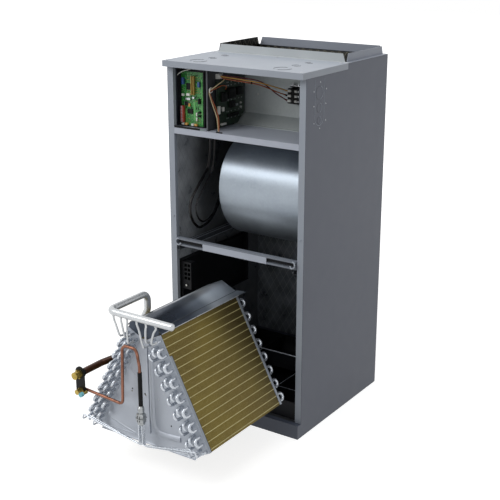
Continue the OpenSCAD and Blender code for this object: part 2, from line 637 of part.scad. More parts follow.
// Coil slabs. In a slab's own frame X points out of its outer face and Z climbs the slab.
module on_slab() translate([coil_hw, coil_y, coil_z]) rotate([0, -slab_lean, 0]) children();
function tube_z(i, k) = first_tube + i*tube_pitch + (k == 1 ? stagger : 0);
function row_x(k) = -first_row - k*row_pitch;
function on_right(x, z) = [coil_hw + x*cos(slab_lean) - z*sin(slab_lean),
    coil_z + x*sin(slab_lean) + z*cos(slab_lean)];
module fin_pack() on_slab() difference() {
    block([-slab_t, plate_t, 0], [0, coil_l - plate_t, slab_h]);
    block([fin_t - slab_t, 0, fin_t], [-fin_t, coil_l, slab_h - fin_t]);
}
module right_fin_pack() color("darkkhaki") fin_pack();
module left_fin_pack() color("darkkhaki") mirror([1, 0, 0]) fin_pack();
module coil_tubes() color("gainsboro") both_sides() on_slab()
    for (k = [0:rows - 1], i = [0:tubes - 1]) 
        rod_y(row_x(k), tube_z(i, k), tube_r, -tail, coil_l + tail);
module end_plate(y) difference() {
    block([-slab_t, y, 0], [0, y + plate_t, slab_h]);
    for (k = [0:rows - 1], i = [0:tubes - 1])
        rod_y(row_x(k), tube_z(i, k), tube_r + bore_gap, y - 1, y + plate_t + 1);
}
flange_l = 11;
module slab_end_plates() color("gainsboro") both_sides() on_slab() {
    end_plate(0);
    end_plate(coil_l - plate_t);
    block([0, 0, 0], [1, flange_l, slab_h - 70]);
    block([0, coil_l - flange_l, 0], [1, coil_l, slab_h]);
}
module return_bend(x, z, y) translate([x, y + tail, z]) rotate([0, 90, 0])
    rotate_extrude(angle = 180) translate([tube_pitch/2, 0]) circle(tube_r);
module front_return_bends() color("white") both_sides() on_slab()
    mirror([0, 1, 0]) for (k = [0:rows - 1], i = [1:2:tubes - 3])
        return_bend(row_x(k), tube_z(i + 0.5, k), 0);
module rear_return_bends() color("white") both_sides() on_slab()
    for (k = [0:rows - 1], i = [0:2:tubes - 2]) return_bend(row_x(k), tube_z(i + 0.5, k), coil_l);

// Triangular plates that close the coil's ends
module delta_outline() polygon([[0, inner_z - 2], [inner_x - eps, inner_z - 2],
    [foot_x - eps, foot_z], [foot_x - eps, delta_z], [eps - foot_x, delta_z],
    [eps - foot_x, foot_z], [eps - inner_x, inner_z - 2]]);
module delta_plates() color("lightgray") {
    difference() {
        union() {
            along_y(coil_y, coil_y + 1.2) delta_outline();
            along_y(coil_y - 4, coil_y) polygon([[4, delta_z + 40], [14, delta_z + 40],
                [12, inner_z - 20], [6, inner_z - 20]]);
        }
        for (x = [-57, -2]) rod_y(x, 278, 2.5, coil_y - 5, coil_y + 5);
    }
    along_y(coil_back - 1.2, coil_back) delta_outline();
    block([eps - foot_x, coil_y - 4, delta_z], [foot_x - eps, coil_y, delta_z + 1.2]);
    block([eps - foot_x, coil_back, delta_z], [foot_x - eps, coil_back + 12, delta_z + 1.2]);
}

// Folded cap over the gap between the slab tops
ridge_z = outer_z + 43;
eave = [outer_x - 8, outer_z + 16];
lip = [outer_x + 5, outer_z + 3];
cap_t = 1.2;
horn = 46;
function lifted(p, d) = p + d*[-sin(slab_lean), cos(slab_lean)];
module cap_end() polygon([[0, ridge_z - 1], [eave[0] - 1, eave[1] - 0.5], [outer_x - 3, outer_z + 0.6],
    lifted([inner_x, inner_z], apex_gap), [0, inner_z + 7],
    [-lifted([inner_x, inner_z], apex_gap)[0], lifted([inner_x, inner_z], apex_gap)[1]],
    [3 - outer_x, outer_z + 0.6], [1 - eave[0], eave[1] - 0.5]]);
module apex_cap() color("slategray") {
    along_y(coil_y, coil_back) both_sides() polygon([[0, ridge_z], [eave[0], eave[1]],
        [lip[0], lip[1]], [lip[0] - 1, lip[1] - 1], [eave[0] - 1, eave[1] - 1.3], [0, ridge_z - 1.3]]);
    along_y(coil_y, coil_y + cap_t) cap_end();
    along_y(coil_back - cap_t, coil_back) cap_end();
    both_sides() intersection() {
        along_y(coil_back, coil_back + horn) polygon([[eave[0], eave[1]], [lip[0], lip[1]],
            [lip[0] - 1, lip[1] - 1], [eave[0] - 1, eave[1] - 1.3]]);
        translate([0, 0, outer_z - 20]) linear_extrude(60) polygon([[eave[0] - 2, coil_back],
            [lip[0] + 1, coil_back], [lip[0] + 1, coil_back + horn]]);
    }
}

// Refrigerant lines
joint = [-145, coil_y + 139, 411];    // where the header's leg meets the suction stub
stub_x = -226;
module suction_header() color("whitesmoke") pipe([[header_end, header_y, header_z],
    [header_left, header_y, header_z], [header_left, joint[1], header_z],
    [header_left, joint[1], header_z - 54], joint], header_r, 26, 16);
stub_leg = unit(joint - [header_left, joint[1], header_z - 54]);
module suction_stub() color("saddlebrown") pipe([joint, joint + stub_leg*95,
    [stub_x, joint[1] - 90, suction_z], [stub_x, fit_y + 2, suction_z]], header_r, 22, 16);
port_row = [for (k = [0:rows - 1]) on_right(row_x(k), tube_z(tubes - 1, k))];
module feeder(x, port) pipe([[x, header_y, header_z - header_r - 0.1],
    [x, header_y, header_z - header_r - 7],
    [x*0.3 + port[0]*0.7, header_y + 2, header_z - header_r - 34],
    [port[0], coil_y - tail - 16, port[1]], [port[0], coil_y - tail, port[1]]], feeder_r, 9, 10);
module feeder_tubes() color("white") for (k = [0:rows - 1]) {
    feeder(feeder_x[0][k], [-port_row[k][0], port_row[k][1]]);
    feeder(feeder_x[1][k], port_row[k]);
}
module liquid_line() color("peru") pipe([[liquid_x, fit_y + 2, liquid_z], [liquid_x, line_y, liquid_z],
    [-62, line_y, liquid_z - 11], [-55, line_y, 447], [0, line_y, 447], [valve_x, line_y, 392],
    [valve_x, line_y, valve_z[1]]], liquid_r, [0, 9.5, 14, 18, 18, 25]);
module line_sleeve() color("black") difference() {
    translate([valve_x, line_y, valve_z[1] + 1]) cylinder(r = liquid_r + 2, h = 110);
    translate([valve_x, line_y, valve_z[1]]) cylinder(r = liquid_r + 0.1, h = 112);
}
module expansion_valve() color("silver") translate([valve_x, line_y, 0]) {
    translate([0, 0, valve_z[0]]) cylinder(r = 12, h = 7);
    translate([0, 0, valve_z[0] + 7]) cylinder(r = 15.5, h = 31, $fn = 6);
    translate([0, 0, valve_z[0] + 38]) cylinder(r = 8, h = 3);
    translate([0, 0, valve_z[0] + 41]) cylinder(r = 10, h = valve_z[1] - valve_z[0] - 41);
}
foot_row = [for (k = [0:rows - 1]) on_right(row_x(k), tube_z(0, k))];
hook_h = 18;                        // how far a distributor tube drops before it turns in
module distributor_tube(k, s) {
    y = line_y + 2 - 5*(rows - 1 - k);
    x = valve_x + s*6.5;
    port = [s*foot_row[k][0], foot_row[k][1]];
    pipe([[x, line_y - 6 + 6*k, valve_z[0]], [x, line_y - 6 + 6*k, 122 + 5*(rows - 1 - k)],
        [port[0] - s*5, y, port[1] + hook_h], [port[0], y, port[1]],
        [port[0], coil_y - tail, port[1]]], dist_r, 6, 8);
}
module distributor_tubes() color("white") for (k = [0:rows - 1], s = [-1, 1]) distributor_tube(k, s);
module fitting_plate() color("black") difference() {
    hull() for (z = [256, 319]) rod_y(fit_x, z, 18, fit_y - 2, fit_y + 2);
    rod_y(stub_x, suction_z, 8, fit_y - 3, fit_y + 3);
    rod_y(liquid_x, liquid_z, 3, fit_y - 3, fit_y + 3);
}
// Joint fitting through the plate: a hexagon on the plate and a round stub
module fitting(x, z, neck, hex_r, stub_r, stub_l) {
    rod_y(x, z, neck, fit_y - 12, fit_y + 1.9);
    translate([x, fit_y - 2, z]) rotate([90, 0, 0]) cylinder(r = hex_r, h = 9, $fn = 6);
    rod_y(x, z, stub_r, fit_y - 12 - stub_l, fit_y - 12);
}
stem = [liquid_x, fit_y - 6.5, liquid_z];      // service stem off the liquid fitting's hexagon
port_at = [stem[0] + 23, stem[1] - 26];        // axis and front face of the service port's cap
module line_fittings() color("gold") {
    fitting(stub_x, suction_z, 7.9, 15, 12, 14);
    fitting(liquid_x, liquid_z, 2.9, 10.5, 8.5, 12);
    rod_x(stem[1], stem[2], 3, stem[0], port_at[0]);
    rod_y(port_at[0], stem[2], 5, port_at[1] + 5, stem[1] + 4);
}
module service_cap() color("paleturquoise") difference() {
    rod_y(port_at[0], stem[2], 7.5, port_at[1], port_at[1] + 10.5);
    rod_y(port_at[0], stem[2], 5.2, port_at[1] + 4.9, port_at[1] + 11);
}

left_side_panel();
right_side_panel();
back_panel();
front_posts();
top_cap();
front_duct_flange();
rear_duct_flange();
side_duct_flanges();
base_front_rail();
base_rails();
base_deck();
left_liner();
right_liner();
back_liner();
control_shelf();
blower_deck();
control_back_panel();
divider_panel();
board_carrier();
control_board();
interface_board();
board_components();
terminal_block();
wire_clip();
harness_plug();
control_wires();
blower_wrap();
blower_side_plates();
motor_body();
motor_module();
motor_mount();
motor_leads();
blower_wheel();
wheel_hub();
motor_shaft();
cross_rail();
cross_rail_cover();
side_ledges();
drain_pan();
side_drain_pan();
drain_plug();
screws();
left_fin_pack();
right_fin_pack();
coil_tubes();
slab_end_plates();
front_return_bends();
rear_return_bends();
delta_plates();
apex_cap();
suction_header();
feeder_tubes();
suction_stub();
liquid_line();
line_sleeve();
expansion_valve();
distributor_tubes();
fitting_plate();
line_fittings();
service_cap();
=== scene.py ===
import json
import math

import bpy
import bmesh
from mathutils import Matrix, Vector

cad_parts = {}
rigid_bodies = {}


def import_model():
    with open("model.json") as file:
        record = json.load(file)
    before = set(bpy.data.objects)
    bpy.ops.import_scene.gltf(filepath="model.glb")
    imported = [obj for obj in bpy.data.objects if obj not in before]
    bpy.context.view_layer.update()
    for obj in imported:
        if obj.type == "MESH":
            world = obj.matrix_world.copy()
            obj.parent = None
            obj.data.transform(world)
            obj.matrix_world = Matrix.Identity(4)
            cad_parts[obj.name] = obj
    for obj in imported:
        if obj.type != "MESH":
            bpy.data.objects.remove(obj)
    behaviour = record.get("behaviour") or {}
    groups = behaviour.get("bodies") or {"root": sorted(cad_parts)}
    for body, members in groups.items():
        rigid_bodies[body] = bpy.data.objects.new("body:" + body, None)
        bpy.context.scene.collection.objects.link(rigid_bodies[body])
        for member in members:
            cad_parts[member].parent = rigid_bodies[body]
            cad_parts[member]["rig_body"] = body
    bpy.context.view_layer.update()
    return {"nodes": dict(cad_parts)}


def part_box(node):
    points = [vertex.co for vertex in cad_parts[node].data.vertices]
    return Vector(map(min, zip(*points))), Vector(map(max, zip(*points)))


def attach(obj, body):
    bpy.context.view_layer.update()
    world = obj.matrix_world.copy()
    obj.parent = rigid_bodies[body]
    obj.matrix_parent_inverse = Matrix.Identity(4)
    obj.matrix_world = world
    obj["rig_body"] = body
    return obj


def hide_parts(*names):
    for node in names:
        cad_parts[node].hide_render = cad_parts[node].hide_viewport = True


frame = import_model()
cad = frame["nodes"]
mm = 0.001
print("frame loaded:", len(cad), "nodes")

cameraView = {"place": (1.8912, -2.7044, 1.6918), "turn": 34.07, "down": 17.98, "lens": 74.5}
cameraData = bpy.data.cameras.new("camera")
cameraData.sensor_width = 36.0
cameraData.lens = cameraView["lens"]
camera = bpy.data.objects.new("camera", cameraData)
camera.location = cameraView["place"]
camera.rotation_euler = (math.radians(90 - cameraView["down"]), 0, math.radians(cameraView["turn"]))
bpy.context.scene.collection.objects.link(camera)
bpy.context.scene.camera = camera
bpy.context.scene.view_settings.view_transform = "Standard"


def toLinear(hexColour):
    # sRGB hex to the linear colour that a shader takes
    channels = [int(hexColour[i:i + 2], 16) / 255 for i in (1, 3, 5)]
    return tuple(c / 12.92 if c <= 0.04045 else ((c + 0.055) / 1.055) ** 2.4 for c in channels) + (1.0,)


def addNode(tree, kind, inputs=None, **settings):
    # an input that is given a node takes the first output which that node has in use
    node = tree.nodes.new(kind)
    for key, value in settings.items():
        setattr(node, key, value)
    for key, value in (inputs or {}).items():
        if isinstance(value, bpy.types.Node):
            value = next(socket for socket in value.outputs if socket.enabled)
        if isinstance(value, bpy.types.NodeSocket):
            tree.links.new(value, node.inputs[key])
        else:
            node.inputs[key].default_value = value
    return node


def startMaterial(name):
    material = bpy.data.materials.new(name)
    material.use_nodes = True
    material.node_tree.nodes.clear()
    return material, material.node_tree, addNode(material.node_tree, "ShaderNodeTexCoord").outputs["Object"]


def endMaterial(tree, height, depth, inputs, strength=1.0):
    # the surface shader, with a relief whose depth is in millimetres
    bump = addNode(tree, "ShaderNodeBump", {"Height": height, "Distance": depth * mm, "Strength": strength})
    shader = addNode(tree, "ShaderNodeBsdfPrincipled", {"Normal": bump, **inputs})
    addNode(tree, "ShaderNodeOutputMaterial", {"Surface": shader})


def patches(tree, place, size, detail, low, high, colour, other):
    # soft patches of two colours, a size in millimetres across; returns their noise and the colour
    cloud = addNode(tree, "ShaderNodeTexNoise", {"Vector": place, "Scale": 1000 / size, "Detail": detail})
    amount = addNode(tree, "ShaderNodeMapRange", {0: cloud, 1: low, 2: high, 3: 0, 4: 1})
    return cloud, addNode(tree, "ShaderNodeMix", {0: amount, 6: toLinear(colour), 7: toLinear(other)},
                          data_type="RGBA")


def enamelSteel(name, colour, worn, roughness):
    # coil-coated steel sheet: baked enamel, a soft wide highlight and a trace of orange peel
    material, tree, place = startMaterial(name)
    paint = patches(tree, place, 190, 2, 0.35, 0.65, colour, worn)[1]
    handled = addNode(tree, "ShaderNodeTexNoise", {"Vector": place, "Scale": 1000 / 45, "Detail": 3})
    gloss = addNode(tree, "ShaderNodeMapRange", {0: handled, 1: 0.3, 2: 0.7,
                                                 3: roughness - 0.01, 4: roughness + 0.02})
    peel = addNode(tree, "ShaderNodeTexNoise", {"Vector": place, "Scale": 1000 / 3, "Detail": 2})
    endMaterial(tree, peel, 0.02, {"Base Color": paint, "Roughness": gloss})
    return material


def zincSheet(name, colour, flake, metallic, roughness, spangle, contrast):
    # hot-dip galvanised sheet: zinc spangle some millimetres across under a dull metal shine
    material, tree, place = startMaterial(name)
    flakes = addNode(tree, "ShaderNodeTexVoronoi", {"Vector": place, "Scale": 1000 / spangle})
    shade = addNode(tree, "ShaderNodeSeparateColor", {0: flakes.outputs["Color"]})
    cloud = addNode(tree, "ShaderNodeTexNoise", {"Vector": place, "Scale": 1000 / 80, "Detail": 4})
    both = addNode(tree, "ShaderNodeMix", {0: contrast, 2: cloud, 3: shade})
    amount = addNode(tree, "ShaderNodeMapRange", {0: both, 1: 0.3, 2: 0.7, 3: 0, 4: 1})
    zinc = addNode(tree, "ShaderNodeMix", {0: amount, 6: toLinear(colour), 7: toLinear(flake)},
                   data_type="RGBA")
    gloss = addNode(tree, "ShaderNodeMapRange", {0: both, 1: 0.2, 2: 0.8,
                                                 3: roughness - 0.05, 4: roughness + 0.07})
    endMaterial(tree, shade, 0.015, {"Base Color": zinc, "Metallic": metallic, "Roughness": gloss})
    return material


def foilScrim(name, colour, crest, thread, net, metallic=0.6, backShade=0.0):
    # foil facing on glass wool: creased, with a diamond net of glued threads at 15 mm,
    # darker toward the back of the cabinet by the backShade amount, a painted shade
    material, tree, place = startMaterial(name)
    axes = addNode(tree, "ShaderNodeSeparateXYZ", {0: place}).outputs
    along = addNode(tree, "ShaderNodeMath", {0: axes[0], 1: axes[1]}, operation="ADD")
    threads = []
    for slope in (0.62, -0.62):
        slanted = addNode(tree, "ShaderNodeMath", {0: axes[2], 1: slope, 2: along}, operation="MULTIPLY_ADD")
        phase = addNode(tree, "ShaderNodeMath", {0: slanted, 1: 15 * mm}, operation="PINGPONG")
        threads.append(addNode(tree, "ShaderNodeMath", {0: phase, 1: 0.8 * mm}, operation="LESS_THAN"))
    crossed = addNode(tree, "ShaderNodeMath", {0: threads[0], 1: threads[1]}, operation="MAXIMUM")
    faint = addNode(tree, "ShaderNodeMath", {0: crossed, 1: net}, operation="MULTIPLY")
    crease, foil = patches(tree, place, 60, 5, 0.35, 0.7, colour, crest)
    faced = addNode(tree, "ShaderNodeMix", {0: faint, 6: foil, 7: toLinear(thread)}, data_type="RGBA")
    # painted shade: the foil darkens toward the back of the cabinet
    behind = addNode(tree, "ShaderNodeMapRange", {0: axes[1], 1: 0.07, 2: 0.19, 3: 0, 4: backShade},
                     interpolation_type="SMOOTHSTEP")
    shadedToBack = addNode(tree, "ShaderNodeMix", {0: behind, 6: faced, 7: toLinear("#19191d")}, data_type="RGBA")
    gloss = addNode(tree, "ShaderNodeMapRange", {0: crease, 1: 0.3, 2: 0.7, 3: 0.24, 4: 0.46})
    relief = addNode(tree, "ShaderNodeMath", {0: crease, 1: 4.0, 2: faint}, operation="MULTIPLY_ADD")
    endMaterial(tree, relief, 0.8, {"Base Color": shadedToBack, "Metallic": metallic, "Roughness": gloss}, 0.35)
    return material


def mouldedPlastic(name, colour, other, roughness, grain=1.2, depth=0.05, specular=0.5):
    # injection-moulded plastic or extruded insulation: fine texture of the tool, broad soft sheen
    material, tree, place = startMaterial(name)
    flow, resin = patches(tree, place, 90, 2, 0.35, 0.65, colour, other)
    gloss = addNode(tree, "ShaderNodeMapRange", {0: flow, 1: 0.3, 2: 0.7,
                                                 3: roughness - 0.05, 4: roughness + 0.07})
    texture = addNode(tree, "ShaderNodeTexNoise", {"Vector": place, "Scale": 1000 / grain, "Detail": 2})
    endMaterial(tree, texture, depth, {"Base Color": resin, "Roughness": gloss,
                                       "Specular IOR Level": specular})
    return material


def drawnMetal(name, colour, stainAndShadow, metallic, roughness, grain=30, depth=0.01):
    # drawn, rolled or turned metal left bare: clear shine, slight stains and handling marks
    material, tree, place = startMaterial(name)
    metal = patches(tree, place, grain, 4, 0.4, 0.7, colour, stainAndShadow)[1]
    marks = addNode(tree, "ShaderNodeTexNoise", {"Vector": place, "Scale": 1000 / 6, "Detail": 3})
    gloss = addNode(tree, "ShaderNodeMapRange", {0: marks, 1: 0.3, 2: 0.7,
                                                 3: roughness - 0.05, 4: roughness + 0.08})
    endMaterial(tree, marks, depth, {"Base Color": metal, "Metallic": metallic, "Roughness": gloss})
    return material


def steelWithPaintedReflection(name, reflectionBands):
    # cold-rolled steel whose colour along Y carries a painted reflection of the surroundings: dark at one end,
    # bright further along reflectionBands is a list of (place along Y in metres, colour)
    material, tree, place = startMaterial(name)
    along = addNode(tree, "ShaderNodeSeparateXYZ", {0: place}).outputs[1]
    cloud = addNode(tree, "ShaderNodeTexNoise", {"Vector": place, "Scale": 1000 / 120, "Detail": 2})
    drift = addNode(tree, "ShaderNodeMath", {0: cloud, 1: 0.012, 2: along}, operation="MULTIPLY_ADD")
    steel = toLinear(reflectionBands[0][1])
    for (start, before), (end, after) in zip(reflectionBands, reflectionBands[1:]):
        step = addNode(tree, "ShaderNodeMapRange", {0: drift, 1: start, 2: end, 3: 0, 4: 1},
                       interpolation_type="SMOOTHSTEP")
        steel = addNode(tree, "ShaderNodeMix", {0: step, 6: steel, 7: toLinear(after)}, data_type="RGBA")
    gloss = addNode(tree, "ShaderNodeMapRange", {0: cloud, 1: 0.3, 2: 0.7, 3: 0.26, 4: 0.34})
    marks = addNode(tree, "ShaderNodeTexNoise", {"Vector": place, "Scale": 1000 / 9, "Detail": 2})
    endMaterial(tree, marks, 0.01, {"Base Color": steel, "Metallic": 0.85, "Roughness": gloss})
    return material


def coatedFins(name, colour, shade, dust, stainAndShadow):
    # aluminium fin stock with a gold lacquer: olive from the front, dustier in patches,
    # darker and browner toward the top of the rear edge, a painted shadow of the cap
    material, tree, place = startMaterial(name)
    lacquer = patches(tree, place, 130, 3, 0.35, 0.65, colour, shade)[1]
    fine = addNode(tree, "ShaderNodeTexNoise", {"Vector": place, "Scale": 1000 / 4, "Detail": 2})
    dusty = addNode(tree, "ShaderNodeMapRange", {0: fine, 1: 0.5, 2: 0.8, 3: 0, 4: 0.6})
    fins = addNode(tree, "ShaderNodeMix", {0: dusty, 6: lacquer, 7: toLinear(dust)}, data_type="RGBA")
    axes = addNode(tree, "ShaderNodeSeparateXYZ", {0: place}).outputs
    # painted shadow: the fins darken toward the top of the rear edge
    rising = addNode(tree, "ShaderNodeMath", {0: axes[2], 1: 0.35, 2: axes[1]}, operation="MULTIPLY_ADD")
    rear = addNode(tree, "ShaderNodeMapRange", {0: rising, 1: -0.17, 2: 0.06, 3: 0, 4: 0.8},
                   interpolation_type="SMOOTHSTEP")
    fins = addNode(tree, "ShaderNodeMix", {0: rear, 6: fins, 7: toLinear(stainAndShadow)}, data_type="RGBA")
    endMaterial(tree, fine, 0.08, {"Base Color": fins, "Metallic": 0.35, "Roughness": 0.45})
    return material


def boardLaminate(name, colour, track, pad):
    # glass-epoxy laminate under green solder resist: tracks 1 mm wide and tinned pads
    # show through, both drawn coarser than the real ones so that they can be seen
    material, tree, place = startMaterial(name)
    cells = addNode(tree, "ShaderNodeTexVoronoi", {"Vector": place, "Scale": 1000 / 6}, distance="CHEBYCHEV")
    routes = addNode(tree, "ShaderNodeTexVoronoi", {"Vector": place, "Scale": 1000 / 10},
                     feature="DISTANCE_TO_EDGE")
    board = toLinear(colour)
    inked = []
    for pattern, width, ink in ((routes, 0.07, track), (cells, 0.14, pad)):
        distance = pattern.outputs["Distance"]
        inked.append(addNode(tree, "ShaderNodeMath", {0: distance, 1: width}, operation="LESS_THAN"))
        half = addNode(tree, "ShaderNodeMath", {0: inked[-1], 1: 0.6}, operation="MULTIPLY")
        board = addNode(tree, "ShaderNodeMix", {0: half, 6: board, 7: toLinear(ink)}, data_type="RGBA")
    endMaterial(tree, inked[0], 0.05, {"Base Color": board, "Roughness": 0.34})
    return material


finishTable = {
    enamelSteel: {
        "enamelFront": ("#9fa6b0", "#989faa", 0.42),
        # enamelSide is a darker copy of the front enamel: painted shade on the sides and the back
        "enamelSide": ("#4d5361", "#4b515f", 0.46),
        "enamelFlange": ("#989eaa", "#9096a2", 0.44),
        "enamelShelf": ("#b4bac6", "#adb3bf", 0.38),
        "enamelCollar": ("#bbc0c2", "#b2b7ba", 0.4),
        "enamelShaded": ("#3c4046", "#36393f", 0.46),
        "enamelRail": ("#7b818b", "#737983", 0.42),
        "motorEnamel": ("#26282c", "#202226", 0.4),
    },
    zincSheet: {
        "galvanisedWrap": ("#919aa4", "#9da6af", 0.75, 0.38, 7.0, 0.2),
        "galvanisedPanel": ("#b3babb", "#bfc5c4", 0.2, 0.48, 6.0, 0.2),
        # galvanisedDark is a dark copy of the zinc sheet: painted shade on parts deep in the cabinet and on
        # fold and seam lines
        "galvanisedDark": ("#3b3e42", "#4a4d50", 0.5, 0.45, 9.0, 0.3),
        "deltaSteel": ("#b2b8c2", "#bbc1ca", 0.3, 0.42, 10.0, 0.08),
        "stripSteel": ("#888e98", "#9097a0", 0.5, 0.38, 8.0, 0.1),
        "wheelSteel": ("#85898d", "#979b9e", 0.7, 0.4, 5.0, 0.4),
    },
    steelWithPaintedReflection: {
        # apex cap: dark toward its front end, bright further back, a painted reflection
        "apexSteel": ([(-0.48, "#3f4651"), (-0.34, "#4f5662"), (-0.25, "#838a93"), (-0.19, "#c6cbd0"),
                       (-0.15, "#b2b8be"), (-0.08, "#8f969e")],),
    },
    foilScrim: {
        "foilLiner": ("#5d626a", "#858b93", "#c2c5c6", 0.5, 0.45),
        # foilLit is a lighter copy of the liner foil, painted light on the left liner, darkened toward the
        # back as painted shade
        "foilLit": ("#a9aeb5", "#d6dade", "#5d6063", 0.3, 0.3, 0.75),
        "plenumFoil": ("#131312", "#201f1b", "#8d8a78", 0.6),
    },
    coatedFins: {
        "finStock": ("#92803a", "#827034", "#a89a60", "#2e2713"),
    },
    drawnMetal: {
        "aluminiumTube": ("#c6cbd2", "#b6bcc4", 0.75, 0.24, 40, 0.003),
        "headerTube": ("#d0d3d5", "#c3c6c9", 0.55, 0.3, 60, 0.003),
        "finCollar": ("#c4ba86", "#b0a672", 0.4, 0.4, 20),
        "copperTube": ("#8f6351", "#6f4a3b", 0.85, 0.3, 22),
        "copperDark": ("#4a2c20", "#16110f", 0.6, 0.38, 60),
        "brassNut": ("#b59f58", "#94803f", 0.9, 0.26, 12),
        "valveSteel": ("#a9acae", "#8b8e8f", 0.8, 0.3, 14),
        "zincScrew": ("#c3c6ca", "#aaadb1", 0.8, 0.3, 8),
        "groundSteel": ("#aaadb0", "#939699", 1.0, 0.22, 18),
    },
    boardLaminate: {
        "boardGreen": ("#23702f", "#4cae50", "#dbe3b4"),
        "boardShaded": ("#071a0c", "#12401d", "#465238"),
    },
    mouldedPlastic: {
        "blackPolymer": ("#0f1013", "#15161a", 0.5, 1.2, 0.05, 0.18),
        "phenolicBlack": ("#0b0b0c", "#121213", 0.5, 1.2, 0.05, 0.18),
        "resistLight": ("#62b45f", "#4f9d50", 0.35),
        "nylonWhite": ("#e4e4de", "#dad9d2", 0.38),
        "nylonTan": ("#ac8f50", "#977b3f", 0.45),
        "nylonBlue": ("#2a5496", "#1f437d", 0.4),
        "nylonRed": ("#c0493b", "#a83f34", 0.42),
        "wireTan": ("#dda95c", "#c99446", 0.4, 4, 0.04),
        "wireRust": ("#a8562a", "#8f4620", 0.4, 4, 0.04),
        "wireMaroon": ("#6c2228", "#551a1f", 0.38, 4, 0.04),
        "wireBlack": ("#0a0a0b", "#101012", 0.2, 4, 0.02, 0.35),
        "wireCream": ("#dccaa5", "#c8b58c", 0.4, 4, 0.04),
        "foamSleeve": ("#0c0c0e", "#131316", 0.7, 2.5, 0.2, 0.2),
        "capTeal": ("#7cc7d2", "#69b4c0", 0.3),
    },
}
finishes = {name: make(name, *values)
            for make, family in finishTable.items() for name, values in family.items()}
print("materials:", len(finishes))


# mesh helpers, all sizes in millimetres
def addBox(mesh, low, high, slot=0, bevel=0.0):
    low, high = Vector(low), Vector(high)
    made = bmesh.ops.create_cube(mesh, size=1.0, matrix=Matrix.Translation((low + high) / 2)
                                 @ Matrix.Diagonal((high - low).to_4d()))
    for face in {face for vert in made["verts"] for face in vert.link_faces}:
        face.material_index = slot
    if bevel > 0:
        edges = {edge for vert in made["verts"] for edge in vert.link_edges}
        bmesh.ops.bevel(mesh, geom=list(edges), offset=bevel, segments=2, affect="EDGES", profile=0.5,
                        material=-1)


def basis(axis):
    axis = Vector(axis).normalized()
    side = axis.cross((0, 0, 1)) if abs(axis.z) < 0.9 else axis.cross((1, 0, 0))
    side.normalize()
    return side, axis.cross(side), axis


def skinRings(mesh, rings, slot):
    # joins neighbouring rings of points and closes both ends
    rings = [[mesh.verts.new(spot) for spot in ring] for ring in rings]
    sides = len(rings[0])
    for low, high in zip(rings, rings[1:]):
        for k in range(sides):
            n = (k + 1) % sides
            mesh.faces.new((low[k], low[n], high[n], high[k])).material_index = slot
    mesh.faces.new(list(reversed(rings[0]))).material_index = slot
    mesh.faces.new(rings[-1]).material_index = slot


def ringRound(centre, side, other, radius, sides):
    angles = [2 * math.pi * k / sides for k in range(sides)]
    return [centre + (side * math.cos(a) + other * math.sin(a)) * radius for a in angles]


def addLathe(mesh, origin, axis, profile, slot=0, sides=24):
    # profile is a list of (radius, height) along the axis
    side, other, along = basis(axis)
    skinRings(mesh, [ringRound(Vector(origin) + along * height, side, other, radius, sides)
                     for radius, height in profile], slot)


def framesAlong(path):
    # the points of a path, each with two directions across it that turn without twist
    path = [Vector(p) for p in path]
    last = len(path) - 1
    frames = []
    for i, spot in enumerate(path):
        heading = (path[min(i + 1, last)] - path[max(i - 1, 0)]).normalized()
        side = frames[-1][1] if frames else basis(heading)[0]
        side = (side - heading * side.dot(heading)).normalized()
        frames.append((spot, side, heading.cross(side)))
    return frames


def addTube(mesh, path, radius, slot=0, sides=16):
    skinRings(mesh, [ringRound(spot, side, other, radius, sides)
                     for spot, side, other in framesAlong(path)], slot)


def bentPath(points, bend, step=9.0):
    # hard pipe: straight runs with a true arc at each corner
    points = [Vector(p) for p in points]
    path = [points[0]]
    for i in range(1, len(points) - 1):
        radius = bend[i] if isinstance(bend, (list, tuple)) else bend
        before, after = (points[i] - points[i - 1]).normalized(), (points[i + 1] - points[i]).normalized()
        turn = before.angle(after)
        inward = (after - before * before.dot(after)).normalized()
        steps = max(2, math.ceil(math.degrees(turn) / step))
        for k in range(steps + 1):
            a = k * turn / steps
            path.append(points[i] - before * radius * math.tan(turn / 2) + inward * radius * (1 - math.cos(a))
                        + before * radius * math.sin(a))
    return path + [points[-1]]


def smoothPath(points, steps=8):
    # soft lead: a curve through every point
    points = [Vector(p) for p in points]
    path = []
    for i in range(len(points) - 1):
        a, b, c, d = points[max(i - 1, 0)], points[i], points[i + 1], points[min(i + 2, len(points) - 1)]
        for t in (k / steps for k in range(steps)):
            path.append(0.5 * (2 * b + (c - a) * t + (2 * a - 5 * b + 4 * c - d) * t * t
                               + (3 * b - a - 3 * c + d) * t * t * t))
    return path + [points[-1]]


def settle(piece, body, replaced=()):
    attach(piece, body)
    if replaced:
        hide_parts(*replaced)


def finishPiece(mesh, name, materials, body, replaced=(), angle=35.0):
    # turns a bmesh in millimetres into a piece in metres that rides on a body
    bmesh.ops.remove_doubles(mesh, verts=mesh.verts, dist=0.001)
    bmesh.ops.recalc_face_normals(mesh, faces=mesh.faces)
    bmesh.ops.scale(mesh, vec=(mm, mm, mm), verts=mesh.verts)
    data = bpy.data.meshes.new(name)
    mesh.to_mesh(data)
    mesh.free()
    for material in materials:
        data.materials.append(finishes[material])
    data.polygons.foreach_set("use_smooth", [True] * len(data.polygons))
    data.set_sharp_from_angle(angle=math.radians(angle))
    piece = bpy.data.objects.new(name, data)
    bpy.context.scene.collection.objects.link(piece)
    settle(piece, body, replaced)


def bodyOf(node):
    return cad[node]["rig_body"]


def replaceNode(mesh, name, materials, node, angle=35.0):
    finishPiece(mesh, name, materials, bodyOf(node), [node], angle)


